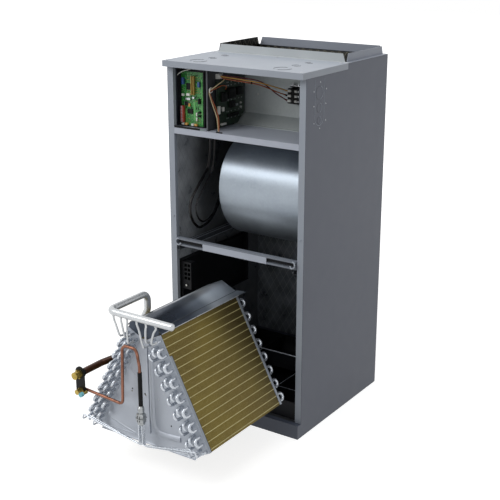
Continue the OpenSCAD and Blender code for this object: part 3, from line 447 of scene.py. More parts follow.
def dress(node, material, angle=35.0, inwardShade=None):
    # a merged, smooth-shaded copy of a CAD node, in its place; faces that point inwards can take a second,
    # dark finish as painted shade
    mesh = bmesh.new()
    mesh.from_mesh(cad[node].data)
    bmesh.ops.remove_doubles(mesh, verts=mesh.verts, dist=1e-6)
    bmesh.ops.dissolve_limit(mesh, angle_limit=math.radians(0.5), verts=mesh.verts, edges=mesh.edges)
    bmesh.ops.scale(mesh, vec=(1000, 1000, 1000), verts=mesh.verts)
    for face in mesh.faces:
        outwards = face.normal.x * math.copysign(1, face.calc_center_median().x)
        face.material_index = int(inwardShade is not None and outwards < -0.3)
    words = node.split("_")
    name = words[0] + "".join(word.capitalize() for word in words[1:]) + "Finish"
    replaceNode(mesh, name, [material, inwardShade] if inwardShade else [material], node, angle)


# nodes whose CAD mesh stays, and nodes that only get smooth shading
plainNodes = {
    # painted shade: sides and back take the darker copy of the front enamel
    "enamelSide": ["left_side_panel", "right_side_panel", "back_panel", "base_front_rail"],
    "enamelFlange": ["rear_duct_flange"],
    "enamelFront": ["front_posts", "top_cap"],
    "enamelShelf": ["control_shelf", "cross_rail_cover"],
    "enamelCollar": ["front_duct_flange"],
    "enamelShaded": ["side_ledges"],
    "enamelRail": ["cross_rail"],
    "galvanisedPanel": ["control_back_panel", "motor_mount"],
    # painted shade: these deep parts take the dark copy of the zinc sheet
    "galvanisedDark": ["base_deck", "base_rails", "blower_deck", "divider_panel"],
    "foilLiner": ["right_liner", "back_liner"],
    "foilLit": ["left_liner"],
    "blackPolymer": ["board_carrier", "side_drain_pan"],
    "deltaSteel": ["slab_end_plates"],
    "boardGreen": ["control_board"],
    "boardShaded": ["interface_board"],
}
for material, nodes in plainNodes.items():
    for node in nodes:
        cad[node].data.materials.clear()
        cad[node].data.materials.append(finishes[material])

smoothNodes = {"blower_wrap": "galvanisedWrap", "blower_side_plates": "galvanisedWrap",
               "motor_body": "motorEnamel", "motor_module": "blackPolymer",
               "blower_wheel": "wheelSteel", "wheel_hub": "wheelSteel",
               "motor_shaft": "groundSteel", "drain_pan": "blackPolymer", "drain_plug": "blackPolymer",
               "wire_clip": "nylonWhite", "harness_plug": "nylonWhite", "coil_tubes": "aluminiumTube",
               "front_return_bends": "aluminiumTube", "rear_return_bends": "aluminiumTube",
               "line_sleeve": "foamSleeve", "line_fittings": "brassNut", "service_cap": "capTeal",
               "apex_cap": "apexSteel", "delta_plates": "deltaSteel", "fitting_plate": "phenolicBlack"}
for node, material in smoothNodes.items():
    dress(node, material)
# the inner faces of the side duct flanges take the dark plenum foil as painted shade
dress("side_duct_flanges", "enamelFlange", 35.0, "plenumFoil")
print("nodes dressed:", len(smoothNodes) + 1)


# Geometry Nodes: a small tree makes what repeats, and its result is kept as a plain mesh
def startTree(name, inputs):
    tree = bpy.data.node_groups.new(name, "GeometryNodeTree")
    tree.interface.new_socket("Geometry", in_out="OUTPUT", socket_type="NodeSocketGeometry")
    tree.interface.new_socket("Geometry", in_out="INPUT", socket_type="NodeSocketGeometry")
    for label, kind in inputs.items():
        tree.interface.new_socket(label, in_out="INPUT", socket_type="NodeSocket" + kind)
    return tree, addNode(tree, "NodeGroupInput").outputs


def endTree(tree, geometry):
    addNode(tree, "NodeGroupOutput", {"Geometry": geometry})
    return tree


def finTree():
    # a row of thin fins along Y, leaning about Y
    tree, given = startTree("finRow", {"Count": "Int", "Pitch": "Float", "Fin Size": "Vector",
                                       "Lean": "Float", "Middle": "Vector", "Material": "Material"})
    step = addNode(tree, "ShaderNodeCombineXYZ", {1: given["Pitch"]})
    line = addNode(tree, "GeometryNodeMeshLine", {"Count": given["Count"], "Offset": step}, mode="OFFSET")
    fin = addNode(tree, "GeometryNodeMeshCube", {"Size": given["Fin Size"]})
    row = addNode(tree, "GeometryNodeInstanceOnPoints", {"Points": line, "Instance": fin})
    turn = addNode(tree, "ShaderNodeCombineXYZ", {1: given["Lean"]})
    placed = addNode(tree, "GeometryNodeTransform", {"Geometry": row, "Translation": given["Middle"],
                                                     "Rotation": turn})
    solid = addNode(tree, "GeometryNodeRealizeInstances", {"Geometry": placed})
    coated = addNode(tree, "GeometryNodeSetMaterial", {"Geometry": solid, "Material": given["Material"]})
    return endTree(tree, coated)


def headTree():
    # a domed head with a cross recess on every point, turned to the point's facing; the recess is two dark
    # bars, painted shade
    tree, given = startTree("screwHeads", {"Radius": "Float", "Height": "Float", "Recess": "Float",
                                           "Material": "Material", "Recess Shade Material": "Material"})
    skirt = addNode(tree, "GeometryNodeMeshCylinder", {"Vertices": 16, "Radius": given["Radius"],
                                                       "Depth": given["Height"]})
    ball = addNode(tree, "GeometryNodeMeshUVSphere", {"Segments": 16, "Rings": 8, "Radius": given["Radius"]})
    flat = addNode(tree, "GeometryNodeTransform", {"Geometry": ball, "Scale": (0.96, 0.96, 0.35)})
    half = addNode(tree, "ShaderNodeMath", {0: given["Height"], 1: 0.5}, operation="MULTIPLY")
    lift = addNode(tree, "ShaderNodeCombineXYZ", {2: half})
    dome = addNode(tree, "GeometryNodeTransform", {"Geometry": flat, "Translation": lift})
    head = addNode(tree, "GeometryNodeJoinGeometry", {0: dome})
    tree.links.new(skirt.outputs[0], head.inputs[0])
    plated = addNode(tree, "GeometryNodeSetMaterial", {"Geometry": head, "Material": given["Material"]})
    whole = addNode(tree, "GeometryNodeJoinGeometry", {0: plated})
    tall = addNode(tree, "ShaderNodeMath", {0: given["Height"], 1: 2.2}, operation="MULTIPLY")
    for axis in (0, 1):
        size = addNode(tree, "ShaderNodeCombineXYZ", {axis: given["Recess"], 1 - axis: 0.9 * mm, 2: tall})
        slot = addNode(tree, "GeometryNodeMeshCube", {"Size": size})
        dark = addNode(tree, "GeometryNodeSetMaterial", {"Geometry": slot,
                                                         "Material": given["Recess Shade Material"]})
        tree.links.new(dark.outputs[0], whole.inputs[0])
    facing = addNode(tree, "GeometryNodeInputNamedAttribute", {"Name": "facing"}, data_type="FLOAT_VECTOR")
    turn = addNode(tree, "FunctionNodeAlignRotationToVector", {"Vector": facing}, axis="Z")
    heads = addNode(tree, "GeometryNodeInstanceOnPoints", {"Points": given["Geometry"], "Instance": whole,
                                                           "Rotation": turn})
    solid = addNode(tree, "GeometryNodeRealizeInstances", {"Geometry": heads})
    shaded = addNode(tree, "GeometryNodeSetShadeSmooth", {"Geometry": solid, "Shade Smooth": False})
    return endTree(tree, shaded)


def blockTree():
    # the same small block on every point, such as pins and chip legs
    tree, given = startTree("smallBlocks", {"Block Size": "Vector", "Material": "Material"})
    block = addNode(tree, "GeometryNodeMeshCube", {"Size": given["Block Size"]})
    row = addNode(tree, "GeometryNodeInstanceOnPoints", {"Points": given["Geometry"], "Instance": block})
    solid = addNode(tree, "GeometryNodeRealizeInstances", {"Geometry": row})
    faced = addNode(tree, "GeometryNodeSetMaterial", {"Geometry": solid, "Material": given["Material"]})
    return endTree(tree, faced)


def runTree(name, tree, values, body, replaced=(), points=(), facings=()):
    # a tree's result as a plain mesh; values are the tree's own inputs, points are in millimetres
    data = bpy.data.meshes.new(name)
    data.from_pydata([Vector(p) * mm for p in points], [], [])
    if facings:
        facing = data.attributes.new("facing", "FLOAT_VECTOR", "POINT")
        facing.data.foreach_set("vector", [c for f in facings for c in f])
    piece = bpy.data.objects.new(name, data)
    bpy.context.scene.collection.objects.link(piece)
    modifier = piece.modifiers.new("nodes", "NODES")
    modifier.node_group = tree
    for item in tree.interface.items_tree:
        if item.in_out == "INPUT" and item.name in values:
            modifier[item.identifier] = values[item.name]
    piece.update_tag()
    bpy.context.view_layer.update()
    evaluated = piece.evaluated_get(bpy.context.evaluated_depsgraph_get())
    baked = bpy.data.meshes.new_from_object(evaluated)
    piece.modifiers.remove(modifier)
    piece.data = baked
    settle(piece, body, replaced)


finRow, screwHeads, smallBlocks = finTree(), headTree(), blockTree()


def facingFront(y, places):
    # screws that face the front, from their X and Z
    return [((x, y, z), (0, -1, 0)) for x, z in places]


def addScrews(name, spots, radius, height, body, replaced=(), material="zincScrew"):
    # spots is a list of (point, facing)
    runTree(name, screwHeads, {"Radius": radius * mm, "Height": height * mm, "Recess": radius * mm,
                               "Material": finishes[material], "Recess Shade Material": finishes["phenolicBlack"]},
            body, replaced, [spot for spot, facing in spots], [facing for spot, facing in spots])


def addBlocks(name, points, size, material):
    runTree(name, smallBlocks, {"Block Size": [s * mm for s in size], "Material": finishes[material]},
            "cabinet", (), points)


# control compartment
boards = {"left": -242, "front": 40, "foot": 1015, "sideFace": -104.4, "sideFront": 49}


def onBoard(x, z, w, h, d):
    # a part on the control board, from its lower left corner
    return ((boards["left"] + x, boards["front"] - d, boards["foot"] + z),
            (boards["left"] + x + w, boards["front"], boards["foot"] + z + h))


def onSideBoard(y, z, l, h, d):
    # a part on the interface board, from its lower front corner
    return ((boards["sideFace"], boards["sideFront"] + y, boards["foot"] + z),
            (boards["sideFace"] + d, boards["sideFront"] + y + l, boards["foot"] + z + h))


boardParts = {
    "nylonTan": [onBoard(45, 104, 4, 64, 9), onBoard(54, 104, 4, 64, 9)],
    "nylonBlue": [onBoard(6, 137, 9, 22, 9), onBoard(72, 132, 8, 17, 8)],
    "nylonWhite": [onBoard(5, 98, 9, 8, 8), onBoard(25, 100, 14, 8, 8), onBoard(4, 1, 10, 7, 9),
                   onBoard(44, 1, 10, 7, 9), onSideBoard(4, 46, 9, 26, 8), onSideBoard(28, 52, 8, 14, 7),
                   onSideBoard(20, 6, 26, 6, 8), onSideBoard(134, 64, 6, 5, 6), onSideBoard(134, 50, 6, 5, 6),
                   onBoard(62, 18, 5, 12, 5), onBoard(62, 34, 5, 12, 5)],
    "wireTan": [onBoard(18, 1, 10, 7, 9), onBoard(58, 1, 10, 7, 9), onBoard(32, 64, 6, 10, 6)],
    "nylonRed": [onBoard(2, 10, 12, 55, 12)],
    "phenolicBlack": [onBoard(14, 66, 16, 14, 3), onBoard(72, 76, 8, 18, 8), onBoard(73, 32, 7, 7, 7),
                      onBoard(73, 44, 7, 7, 7), onBoard(26, 40, 22, 16, 4), onBoard(22, 120, 16, 22, 3),
                      onSideBoard(60, 90, 40, 34, 9), onSideBoard(112, 96, 26, 26, 11),
                      onSideBoard(60, 28, 60, 10, 8), onSideBoard(24, 84, 26, 30, 9),
                      onSideBoard(70, 58, 30, 22, 7)],
    "resistLight": [onBoard(84, 8, 3.5, 150, 0.8), onBoard(18, 12, 3, 50, 0.8), onBoard(50, 20, 8, 60, 0.8)],
    "zincScrew": [onBoard(20, 86, 20, 7, 7), onBoard(50, 92, 9, 7, 9), onSideBoard(108, 60, 10, 7, 5)],
}
mesh = bmesh.new()
for slot, parts in enumerate(boardParts.values()):
    for low, high in parts:
        addBox(mesh, low, high, slot, 0.6 if min(Vector(high) - Vector(low)) > 2 else 0)
replaceNode(mesh, "boardComponents", list(boardParts), "board_components")

# rows of pins, solder joints and chip legs on the control board: finish, size, how far
# their middles stand off its face, columns and rows
pinRows = {
    "headerPins": ("brassNut", (1.6, 1.6, 3.0), 9.8, (47, 56), range(108, 168, 5)),
    "terminalScrews": ("zincScrew", (6, 1.6, 3.2), 12.4, (8,), range(13, 68, 5)),
    "chipLegs": ("zincScrew", (1.2, 2.4, 1.0), 1.2, (13.2, 30.8), range(67, 81, 2)),
    "smallParts": ("nylonTan", (3.2, 1.4, 1.8), 0.8, (26, 33, 62, 68, 76),
                   (14, 22, 84, 112, 120, 128, 154, 162)),
    "smallResistors": ("phenolicBlack", (2.2, 1.4, 3.4), 0.8, (20, 42, 62, 69),
                       (58, 62, 88, 98, 146, 152, 170)),
}
for name, (material, size, standOff, columns, rows) in pinRows.items():
    addBlocks(name, [(boards["left"] + x, boards["front"] - standOff, boards["foot"] + z)
                     for x in columns for z in rows], size, material)
addBlocks("sideBoardParts", [(boards["sideFace"] + 0.8, boards["sideFront"] + y, boards["foot"] + z)
                             for y in (58, 66, 84, 106, 128, 144) for z in (24, 46, 84, 134, 144)],
          (1.4, 2.4, 4.0), "valveSteel")

# terminal block: a black body in three rows with white markers, under a ledge with two tabs.
# A row's boxes are (low corner, high corner, finish, bevel) from the row's own corner
terminal = {"left": 76, "right": 121, "front": 202, "wall": 230, "foot": 1093, "top": 1143,
            "rows": 3, "rowHeight": 50 / 3, "uprights": (76, 96.5, 118), "tabs": (87, 108),
            "row": [((0, 0, 0), (45, 5, 2.2), 0, 0.5), ((-1, -0.4, 5), (12, 5, 13), 1, 0.4),
                    ((14, 1, 3), (23, 5, 15), 0, 0.4), ((26, 0.4, 5), (35, 5, 12), 1, 0.4)]}
ledge = {"left": 78, "front": 216, "foot": 1146, "top": 1152}
mesh = bmesh.new()
addBox(mesh, (terminal["left"], terminal["front"] + 4, terminal["foot"]),
       (terminal["right"], terminal["wall"], terminal["top"]), 0, 0.8)
addBox(mesh, (ledge["left"], ledge["front"], ledge["foot"]),
       (terminal["right"], terminal["wall"], ledge["top"]), 0, 0.8)
addBox(mesh, (ledge["left"], ledge["front"] - 0.4, ledge["top"] - 1.6),
       (terminal["right"], ledge["front"] + 1, ledge["top"] + 0.2), 2)
for x in terminal["uprights"]:
    addBox(mesh, (x, terminal["front"], terminal["foot"]),
           (x + 3, terminal["front"] + 5, terminal["top"]), 0, 0.5)
for row in range(terminal["rows"]):
    corner = (terminal["left"], terminal["front"], terminal["foot"] + row * terminal["rowHeight"])
    for low, high, slot, bevel in terminal["row"]:
        low, high = ([start + step for start, step in zip(corner, steps)] for steps in (low, high))
        addBox(mesh, low, high, slot, bevel)
for x in terminal["tabs"]:
    addBox(mesh, (x, ledge["front"] - 2, ledge["top"]), (x + 3, ledge["front"], ledge["top"] + 8), 2, 0.3)
replaceNode(mesh, "terminalBlock", ["phenolicBlack", "nylonWhite", "zincScrew"], "terminal_block")

screwSpots = [((x, y, 1235.4), (0, 0, 1))
              for x, y in ((-254, 242), (8, 244), (256, 235), (-260, -14), (260, -14))]
screwSpots += facingFront(229.5, ((-63, 1108), (20, 1190), (200, 1190), (200, 1060)))
screwSpots += facingFront(205.5, [(117, terminal["foot"] + (row + 0.5) * terminal["rowHeight"])
                                  for row in range(terminal["rows"])])
addScrews("sheetScrews", screwSpots, 4.0, 2.0, "cabinet", ["screws"])
addScrews("postScrews", facingFront(-0.4, ((-256, 700), (256, 700))), 4.0, 1.6,
          "cabinet", (), "enamelFront")

# leads of the control compartment, each from its plug to its end
powerRoutes = [
    [(-94.6, 60, 1186), (-70, 64, 1184), (-20, 74, 1180), (40, 92, 1172), (66, 150, 1152), (74.4, 206, 1134)],
    [(-94.6, 65, 1182), (-70, 70, 1177), (-20, 82, 1172), (34, 102, 1163), (60, 160, 1136), (74.4, 206, 1118)],
    [(-94.6, 70, 1188), (-70, 78, 1186), (-20, 92, 1182), (30, 112, 1172), (58, 160, 1130), (74.4, 206, 1101)]]
signalRoutes = [
    [(-94.6, 75, 1182), (-86, 66, 1174), (-90, 44, 1164), (-97, 28, 1154), (-104, 17, 1147),
     (-108.6, 15, 1138), (-107, 22, 1112), (-99, 30, 1078), (-89, 30, 1052), (-86, 32, 1012), (-86, 32, 985)],
    [(-102, 97, 1138), (-92, 88, 1150), (-90, 62, 1156), (-96, 36, 1150), (-104, 21, 1143),
     (-108.4, 19, 1134), (-104, 26, 1110), (-95, 34, 1080), (-85, 33, 1052), (-82, 31, 1012), (-82, 31, 985)]]
leadFinishes = ["wireTan", "wireRust", "wireMaroon", "wireCream", "phenolicBlack"]
mesh = bmesh.new()
for slot, (route, sleeve) in enumerate(zip(powerRoutes, (0, 4, 2))):
    # each lead ends in a short sleeve
    path = smoothPath(route, 12)
    addTube(mesh, path, 2.0, slot, 14)
    addTube(mesh, path[-5:], 2.6, sleeve, 14)
for slot, route in zip((3, 1), signalRoutes):
    addTube(mesh, smoothPath(route, 12), 1.7, slot, 12)
for spot in ((-40, 77, 1179.5), (10, 87, 1171)):
    addLathe(mesh, spot, (1, 0.2, -0.1), [(5.2, -1.2), (5.6, 0), (5.2, 1.2)], 4, 16)
replaceNode(mesh, "controlLeads", leadFinishes, "control_wires")

# motor leads: several cables lie in the loop beside the housing, each wound slowly round the others
motorRoutes = [
    [(-206, 232.4, 758.4), (-204, 200, 719), (-201, 158, 678), (-200, 123, 655), (-200, 75, 649),
     (-200, 38, 676), (-200, 21, 714), (-200, 26, 754), (-200, 56, 787), (-200, 103, 830),
     (-200, 127, 861), (-200, 138, 910), (-200, 140, 960), (-200, 140, 1008.6)],
    [(-203, 218.8, 776.8), (-198, 190, 740), (-190, 150, 700), (-188, 118, 678), (-188, 82, 670),
     (-188, 54, 686), (-188, 38, 716), (-188, 42, 748), (-188, 68, 776), (-188, 114, 820),
     (-188, 138, 856), (-188, 148, 906), (-188, 151, 960), (-188, 151, 1008.6)]]
mesh = bmesh.new()
for route, strands, offset, radius in ((motorRoutes[0], 3, 2.7, 2.3), (motorRoutes[1], 2, 1.6, 1.6)):
    frames = framesAlong(smoothPath(route, 10))
    for strand in range(strands):
        angles = [2 * math.pi * strand / strands + i * 0.035 for i in range(len(frames))]
        addTube(mesh, [spot + (side * math.cos(a) + other * math.sin(a)) * offset
                       for (spot, side, other), a in zip(frames, angles)], radius, 0, 12)
replaceNode(mesh, "motorLeads", ["wireBlack"], "motor_leads")
print("control compartment done")

# coil: two leaning slabs of fins and tubes. In a slab's own frame X points out of its
# outer face, Y runs back and Z climbs the slab
coil = {"halfWidth": 240, "foot": 150, "front": -480, "length": 405, "height": 386, "depth": 57, "lean": 27.2,
        "tubes": 16, "tubePitch": 24.1, "firstTube": 8, "rows": 3, "rowPitch": 19, "firstRow": 9.5,
        "stagger": 9.5, "tail": 18, "finPitch": 2.6, "finThickness": 1.5, "collarRadius": 1.4,
        "collarSink": 0.5}
leanAngle = math.radians(coil["lean"])
onSlab = (Matrix.Translation((coil["halfWidth"], coil["front"], coil["foot"]))
          @ Matrix.Rotation(-leanAngle, 4, "Y"))
slabSides = {"right": onSlab, "left": Matrix.Scale(-1, 4, (1, 0, 0)) @ onSlab}
slabTop = coil["foot"] + coil["height"] * math.cos(leanAngle)
ports = coil["front"] - coil["tail"]


def tubePlace(side, row, i):
    # axis of a tube, as X and Z on the chosen slab
    x = -coil["firstRow"] - row * coil["rowPitch"]
    z = coil["firstTube"] + i * coil["tubePitch"] + (coil["stagger"] if row == 1 else 0)
    spot = slabSides[side] @ Vector((x, 0, z))
    return spot.x, spot.z


finCount = int((coil["length"] - 6) / coil["finPitch"])
for side, place in slabSides.items():
    middle = place @ Vector((-coil["depth"] / 2, coil["length"] / 2, coil["height"] / 2))
    start = middle.y - coil["finPitch"] * (finCount - 1) / 2
    runTree(side + "FinStack", finRow, {
        "Count": finCount, "Pitch": coil["finPitch"] * mm,
        "Fin Size": (coil["depth"] * mm, coil["finThickness"] * mm, (coil["height"] - 1) * mm),
        "Lean": -leanAngle if side == "right" else leanAngle,
        "Middle": (middle.x * mm, start * mm, middle.z * mm), "Material": finishes["finStock"]},
        "coil", [side + "_fin_pack"])

# tubes swell the fin collars, which show as bright lines along the faces of the slabs; the swelling is real,
# its lighter colour a painted highlight
mesh = bmesh.new()
for place in slabSides.values():
    for i in range(coil["tubes"]):
        z = coil["firstTube"] + i * coil["tubePitch"]
        for x in (-coil["collarSink"], coil["collarSink"] - coil["depth"]):
            addTube(mesh, [place @ Vector((x, y, z)) for y in (2, coil["length"] - 2)],
                    coil["collarRadius"], 0, 8)
finishPiece(mesh, "finCollars", ["finCollar"], "coil")

# folded strips that close the edges of the slabs: where each starts and ends, and its top
strips = {"sink": 1.2, "thickness": 1.6, "seam": 1.2, "front": (0.2, 11, 316),
          "rear": (coil["length"] - 11, coil["length"] - 0.2, 385)}
mesh = bmesh.new()
for place in slabSides.values():
    for start, end, top in (strips["front"], strips["rear"]):
        before = set(mesh.verts)
        addBox(mesh, (-strips["sink"], start, 1), (strips["thickness"], end, top), 0, 0.5)
        # a dark seam line along the strip's rear edge, painted shade
        addBox(mesh, (strips["thickness"] - 0.4, end - strips["seam"], 1),
               (strips["thickness"] + 0.3, end, top), 1)
        bmesh.ops.transform(mesh, matrix=place, verts=[v for v in mesh.verts if v not in before])
finishPiece(mesh, "slabEdgeStrips", ["stripSteel", "galvanisedDark"], "coil")

# refrigerant lines
lines = {"headerRadius": 11.1, "headerEnd": 146, "headerLeft": -100, "feederRadius": 3.2, "liquidRadius": 4.8,
         "distributorRadius": 2.4, "valveX": 11, "valveFoot": 199, "valveTop": 262, "stubX": -226,
         "suctionZ": 313, "liquidX": -221, "liquidZ": 258, "hook": 18, "feedersLeft": (-80, -51, -27),
         "feedersRight": (83, 46, 11)}
headerY, headerZ = coil["front"] - 45, slabTop + 58.7
lineY, fitY = coil["front"] - 40, coil["front"] - 52
joint = Vector((-145, coil["front"] + 139, 411))
legTop = Vector((lines["headerLeft"], joint.y, headerZ - 54))
leg = (joint - legTop).normalized()
headerPath = bentPath([(lines["headerEnd"], headerY, headerZ), (lines["headerLeft"], headerY, headerZ),
                       (lines["headerLeft"], joint.y, headerZ), legTop, joint], 26, 6)
mesh = bmesh.new()
addTube(mesh, headerPath, lines["headerRadius"], 0, 30)
addLathe(mesh, (lines["headerEnd"] - 1, headerY, headerZ), (1, 0, 0),
         [(11.05, 0), (10.2, 2.4), (7.4, 4.2), (3.2, 5.2)], 0, 30)
replaceNode(mesh, "suctionHeader", ["headerTube"], "suction_header", 50)

mesh = bmesh.new()
stubPath = bentPath([joint, joint + leg * 95, (lines["stubX"], joint.y - 90, lines["suctionZ"]),
                     (lines["stubX"], fitY + 2, lines["suctionZ"])], 22, 6)
addTube(mesh, stubPath, lines["headerRadius"], 0, 28)
addLathe(mesh, joint - leg * 2, leg, [(11.1, 0), (12.4, 2), (12.6, 16), (11.1, 20)], 1, 28)
replaceNode(mesh, "suctionStub", ["copperDark", "copperTube"], "suction_stub", 50)

mesh = bmesh.new()
foot = headerZ - lines["headerRadius"]
for side, spots in (("left", lines["feedersLeft"]), ("right", lines["feedersRight"])):
    for row, x in enumerate(spots):
        portX, portZ = tubePlace(side, row, coil["tubes"] - 1)
        route = [(x, headerY, foot - 0.1), (x, headerY, foot - 10),
                 (x * 0.55 + portX * 0.45, headerY - 1, foot - 26), (portX, ports - 24, portZ + 7),
                 (portX, ports - 13, portZ), (portX, ports, portZ)]
        addTube(mesh, smoothPath(route, 9), lines["feederRadius"], 0, 18)
        addLathe(mesh, (x, headerY, foot - 3.4), (0, 0, 1), [(3.2, 0), (4.4, 2.0), (5.4, 5.0)], 0, 18)
replaceNode(mesh, "feederTubes", ["headerTube"], "feeder_tubes", 50)

mesh = bmesh.new()
liquidPath = bentPath([(lines["liquidX"], fitY + 2, lines["liquidZ"]),
                       (lines["liquidX"], lineY, lines["liquidZ"]),
                       (-62, lineY, lines["liquidZ"] - 11), (-55, lineY, 447), (0, lineY, 447),
                       (lines["valveX"], lineY, 392), (lines["valveX"], lineY, lines["valveTop"])],
                      [0, 9.5, 14, 18, 18, 25], 6)
addTube(mesh, liquidPath, lines["liquidRadius"], 0, 20)
replaceNode(mesh, "liquidLine", ["copperTube"], "liquid_line", 50)

mesh = bmesh.new()
for row in range(coil["rows"]):
    for side, sign in (("left", -1), ("right", 1)):
        portX, portZ = tubePlace(side, row, 0)
        nest = 5 * (coil["rows"] - 1 - row)
        x, y = lines["valveX"] + sign * 6.5, lineY + 2 - nest
        top = lineY - 6 + 6 * row
        route = [(x, top, lines["valveFoot"]), (x, top, 122 + nest),
                 (portX - sign * 5, y, portZ + lines["hook"]), (portX, y, portZ), (portX, ports, portZ)]
        addTube(mesh, bentPath(route, 6, 10), lines["distributorRadius"], 0, 12)
replaceNode(mesh, "distributorTubes", ["aluminiumTube"], "distributor_tubes", 50)

# expansion valve: a hexagonal body with a dark window and a snap ring under a turned collar.
# A turned part is its (radius, height) profile and its number of sides
valve = {"turned": [([(8.5, 0), (12, 2), (12, 7)], 28), ([(13, 7), (15.5, 9.5), (15.5, 35), (12, 38)], 6),
                    ([(8, 38), (8, 41)], 28), ([(9, 41), (10, 42.5), (10, 58), (7.6, 61), (7.6, 63)], 28),
                    ([(10.4, 48), (10.9, 49.5), (10.4, 51)], 28)],
         "ring": 16.2, "ringWire": 1.5, "ringHeight": 22, "window": ((-5.5, -14, 12), (4.5, -12, 33))}
mesh = bmesh.new()
middle = Vector((lines["valveX"], lineY, lines["valveFoot"]))
for profile, sides in valve["turned"]:
    addLathe(mesh, middle, (0, 0, 1), profile, 0, sides)
turns = [math.radians(20 + 10 * k) for k in range(33)]
addTube(mesh, [middle + Vector((math.cos(a) * valve["ring"], math.sin(a) * valve["ring"], valve["ringHeight"]))
               for a in turns], valve["ringWire"], 0, 10)
low, high = valve["window"]
addBox(mesh, middle + Vector(low), middle + Vector(high), 1, 1.2)
replaceNode(mesh, "expansionValve", ["valveSteel", "phenolicBlack"], "expansion_valve", 30)

# rubber grommets where the lines go through the fitting plate
grommets = [(lines["stubX"], lines["suctionZ"], [(16, 0), (16, 4), (14.6, 10), (12.2, 13)]),
            (lines["liquidX"], lines["liquidZ"], [(11.5, 0), (11.5, 4), (9.5, 9), (5.6, 11)])]
mesh = bmesh.new()
for x, z, profile in grommets:
    addLathe(mesh, (x, fitY + 2.1, z), (0, 1, 0), profile, 0, 28)
finishPiece(mesh, "lineGrommets", ["foamSleeve"], "coil")
print("coil and lines done")

# pressed ribs of the triangular front plate: beads sunk into it, each with its X and Z and its size
pressing = {"radius": 7, "sink": 4}
beads = [([(23, 430), (23, 330), (23, 240), (25, 194), (38, 168), (66, 160), (132, 164)], 1.8),
         ([(-150, 160), (-124, 153), (-90, 143), (-48, 134)], 0.6),
         ([(-168, 129), (-100, 129), (-30, 131)], 0.4),
         ([(-34, 330), (-54, 352), (-52, 392), (-34, 424)], 0.5)]
mesh = bmesh.new()
for bead, size in beads:
    radius = pressing["radius"] * size
    y = coil["front"] + radius * pressing["sink"] / pressing["radius"]
    addTube(mesh, smoothPath([(x, y, z) for x, z in bead], 8), radius, 0, 16)
finishPiece(mesh, "frontPlatePressings", ["deltaSteel"], "coil", (), 60)
addScrews("frontPlateRivets", facingFront(coil["front"] - 0.3, ((49, 277), (72, 301), (-150, 122),
                                                                (150, 122), (0, 460))),
          2.4, 1.2, "coil")
# black discs stand for the plate's holes: painted shade
addScrews("frontPlateHoleShades", facingFront(coil["front"] - 0.1, ((-55, 287), (-5, 282), (96, 200))),
          2.6, 0.4, "coil", (), "phenolicBlack")

# folded edges of the cap over the slabs: X, Z and radius; the eave is drawn dark as painted shade and the lip
# bright as a painted highlight
folds = {"eave": (55.9, 509.6, 0.7), "lip": (68.2, 496.4, 1.1)}
mesh = bmesh.new()
for sign in (-1, 1):
    for slot, (x, z, radius) in enumerate(folds.values()):
        addTube(mesh, [(sign * x, y, z) for y in (coil["front"] + 1, coil["front"] + coil["length"] - 1)],
                radius, slot, 10)
finishPiece(mesh, "capFolds", ["galvanisedDark", "headerTube"], "coil")

# small pressings and trims of the cabinet
sideRings = {"face": 270.0, "y": 80, "rings": ((1163, 21.5), (1116, 15), (1077, 11.7))}
topRings = {"face": 1235.0, "rings": ((163, 32, 28.5), (164, 112, 14), (166, 186, 12))}


def arc(centre, first, second, radius, start, end, steps=24):
    # points of an arc from start to end degrees, in the plane of two directions
    angles = [math.radians(start + (end - start) * k / steps) for k in range(steps + 1)]
    return [Vector(centre) + (Vector(first) * math.cos(a) + Vector(second) * math.sin(a)) * radius
            for a in angles]


def sideArc(y, z, radius, start, end):
    # an arc on the right side panel
    return arc((sideRings["face"], y, z), (0, 1, 0), (0, 0, 1), radius, start, end)


mesh = bmesh.new()
# each ring's rear half and the outline are drawn in the lighter front enamel as a painted highlight, the front
# half in the shaded enamel as painted shade
for z, radius in sideRings["rings"]:
    addTube(mesh, sideArc(sideRings["y"], z, radius, -75, 75), 0.75, 0, 8)
    addTube(mesh, sideArc(sideRings["y"], z, radius, 105, 255), 0.5, 1, 8)
outline = ([Vector((sideRings["face"], 53, 1206))] + sideArc(81, 1088, 28, 180, 360)
           + [Vector((sideRings["face"], 109, 1206))])
addTube(mesh, outline, 0.5, 0, 8)
finishPiece(mesh, "sideKnockouts", ["enamelFront", "enamelShaded"], "cabinet")

mesh = bmesh.new()
for x, y, radius in topRings["rings"]:
    for sign in (-1, 1):
        for start in (-90, 90):
            centre = (sign * x, y, topRings["face"])
            addTube(mesh, arc(centre, (1, 0, 0), (0, 1, 0), radius, start, start + 110), 1.0, 0, 8)
finishPiece(mesh, "topKnockouts", ["enamelShaded"], "cabinet")

dimples = [((sideRings["face"] + 0.2, y, z), (1, 0, 0))
           for y, z in ((83.6, 1196), (121, 1170.7), (45, 1170.5), (119, 1124.6), (45.6, 1124.4),
                        (120, 1071.5), (48, 1070.5), (83.5, 1050.7))]
addScrews("sideDimples", dimples, 1.9, 0.8, "cabinet")

# lining of the supply plenum
plenum = {"half": 268.6, "thickness": 11, "front": 234, "back": 538.6, "foot": 1010.4, "top": 1231}
half, inner = plenum["half"], plenum["back"] - plenum["thickness"]
mesh = bmesh.new()
addBox(mesh, (-half, inner, plenum["foot"]), (half, plenum["back"], plenum["top"]), 0, 1)
for sign in (-1, 1):
    low, high = sorted((sign * half, sign * (half - plenum["thickness"])))
    addBox(mesh, (low, plenum["front"], plenum["foot"]), (high, inner - 0.2, plenum["top"]), 0, 1)
finishPiece(mesh, "plenumLining", ["plenumFoil"], "cabinet")

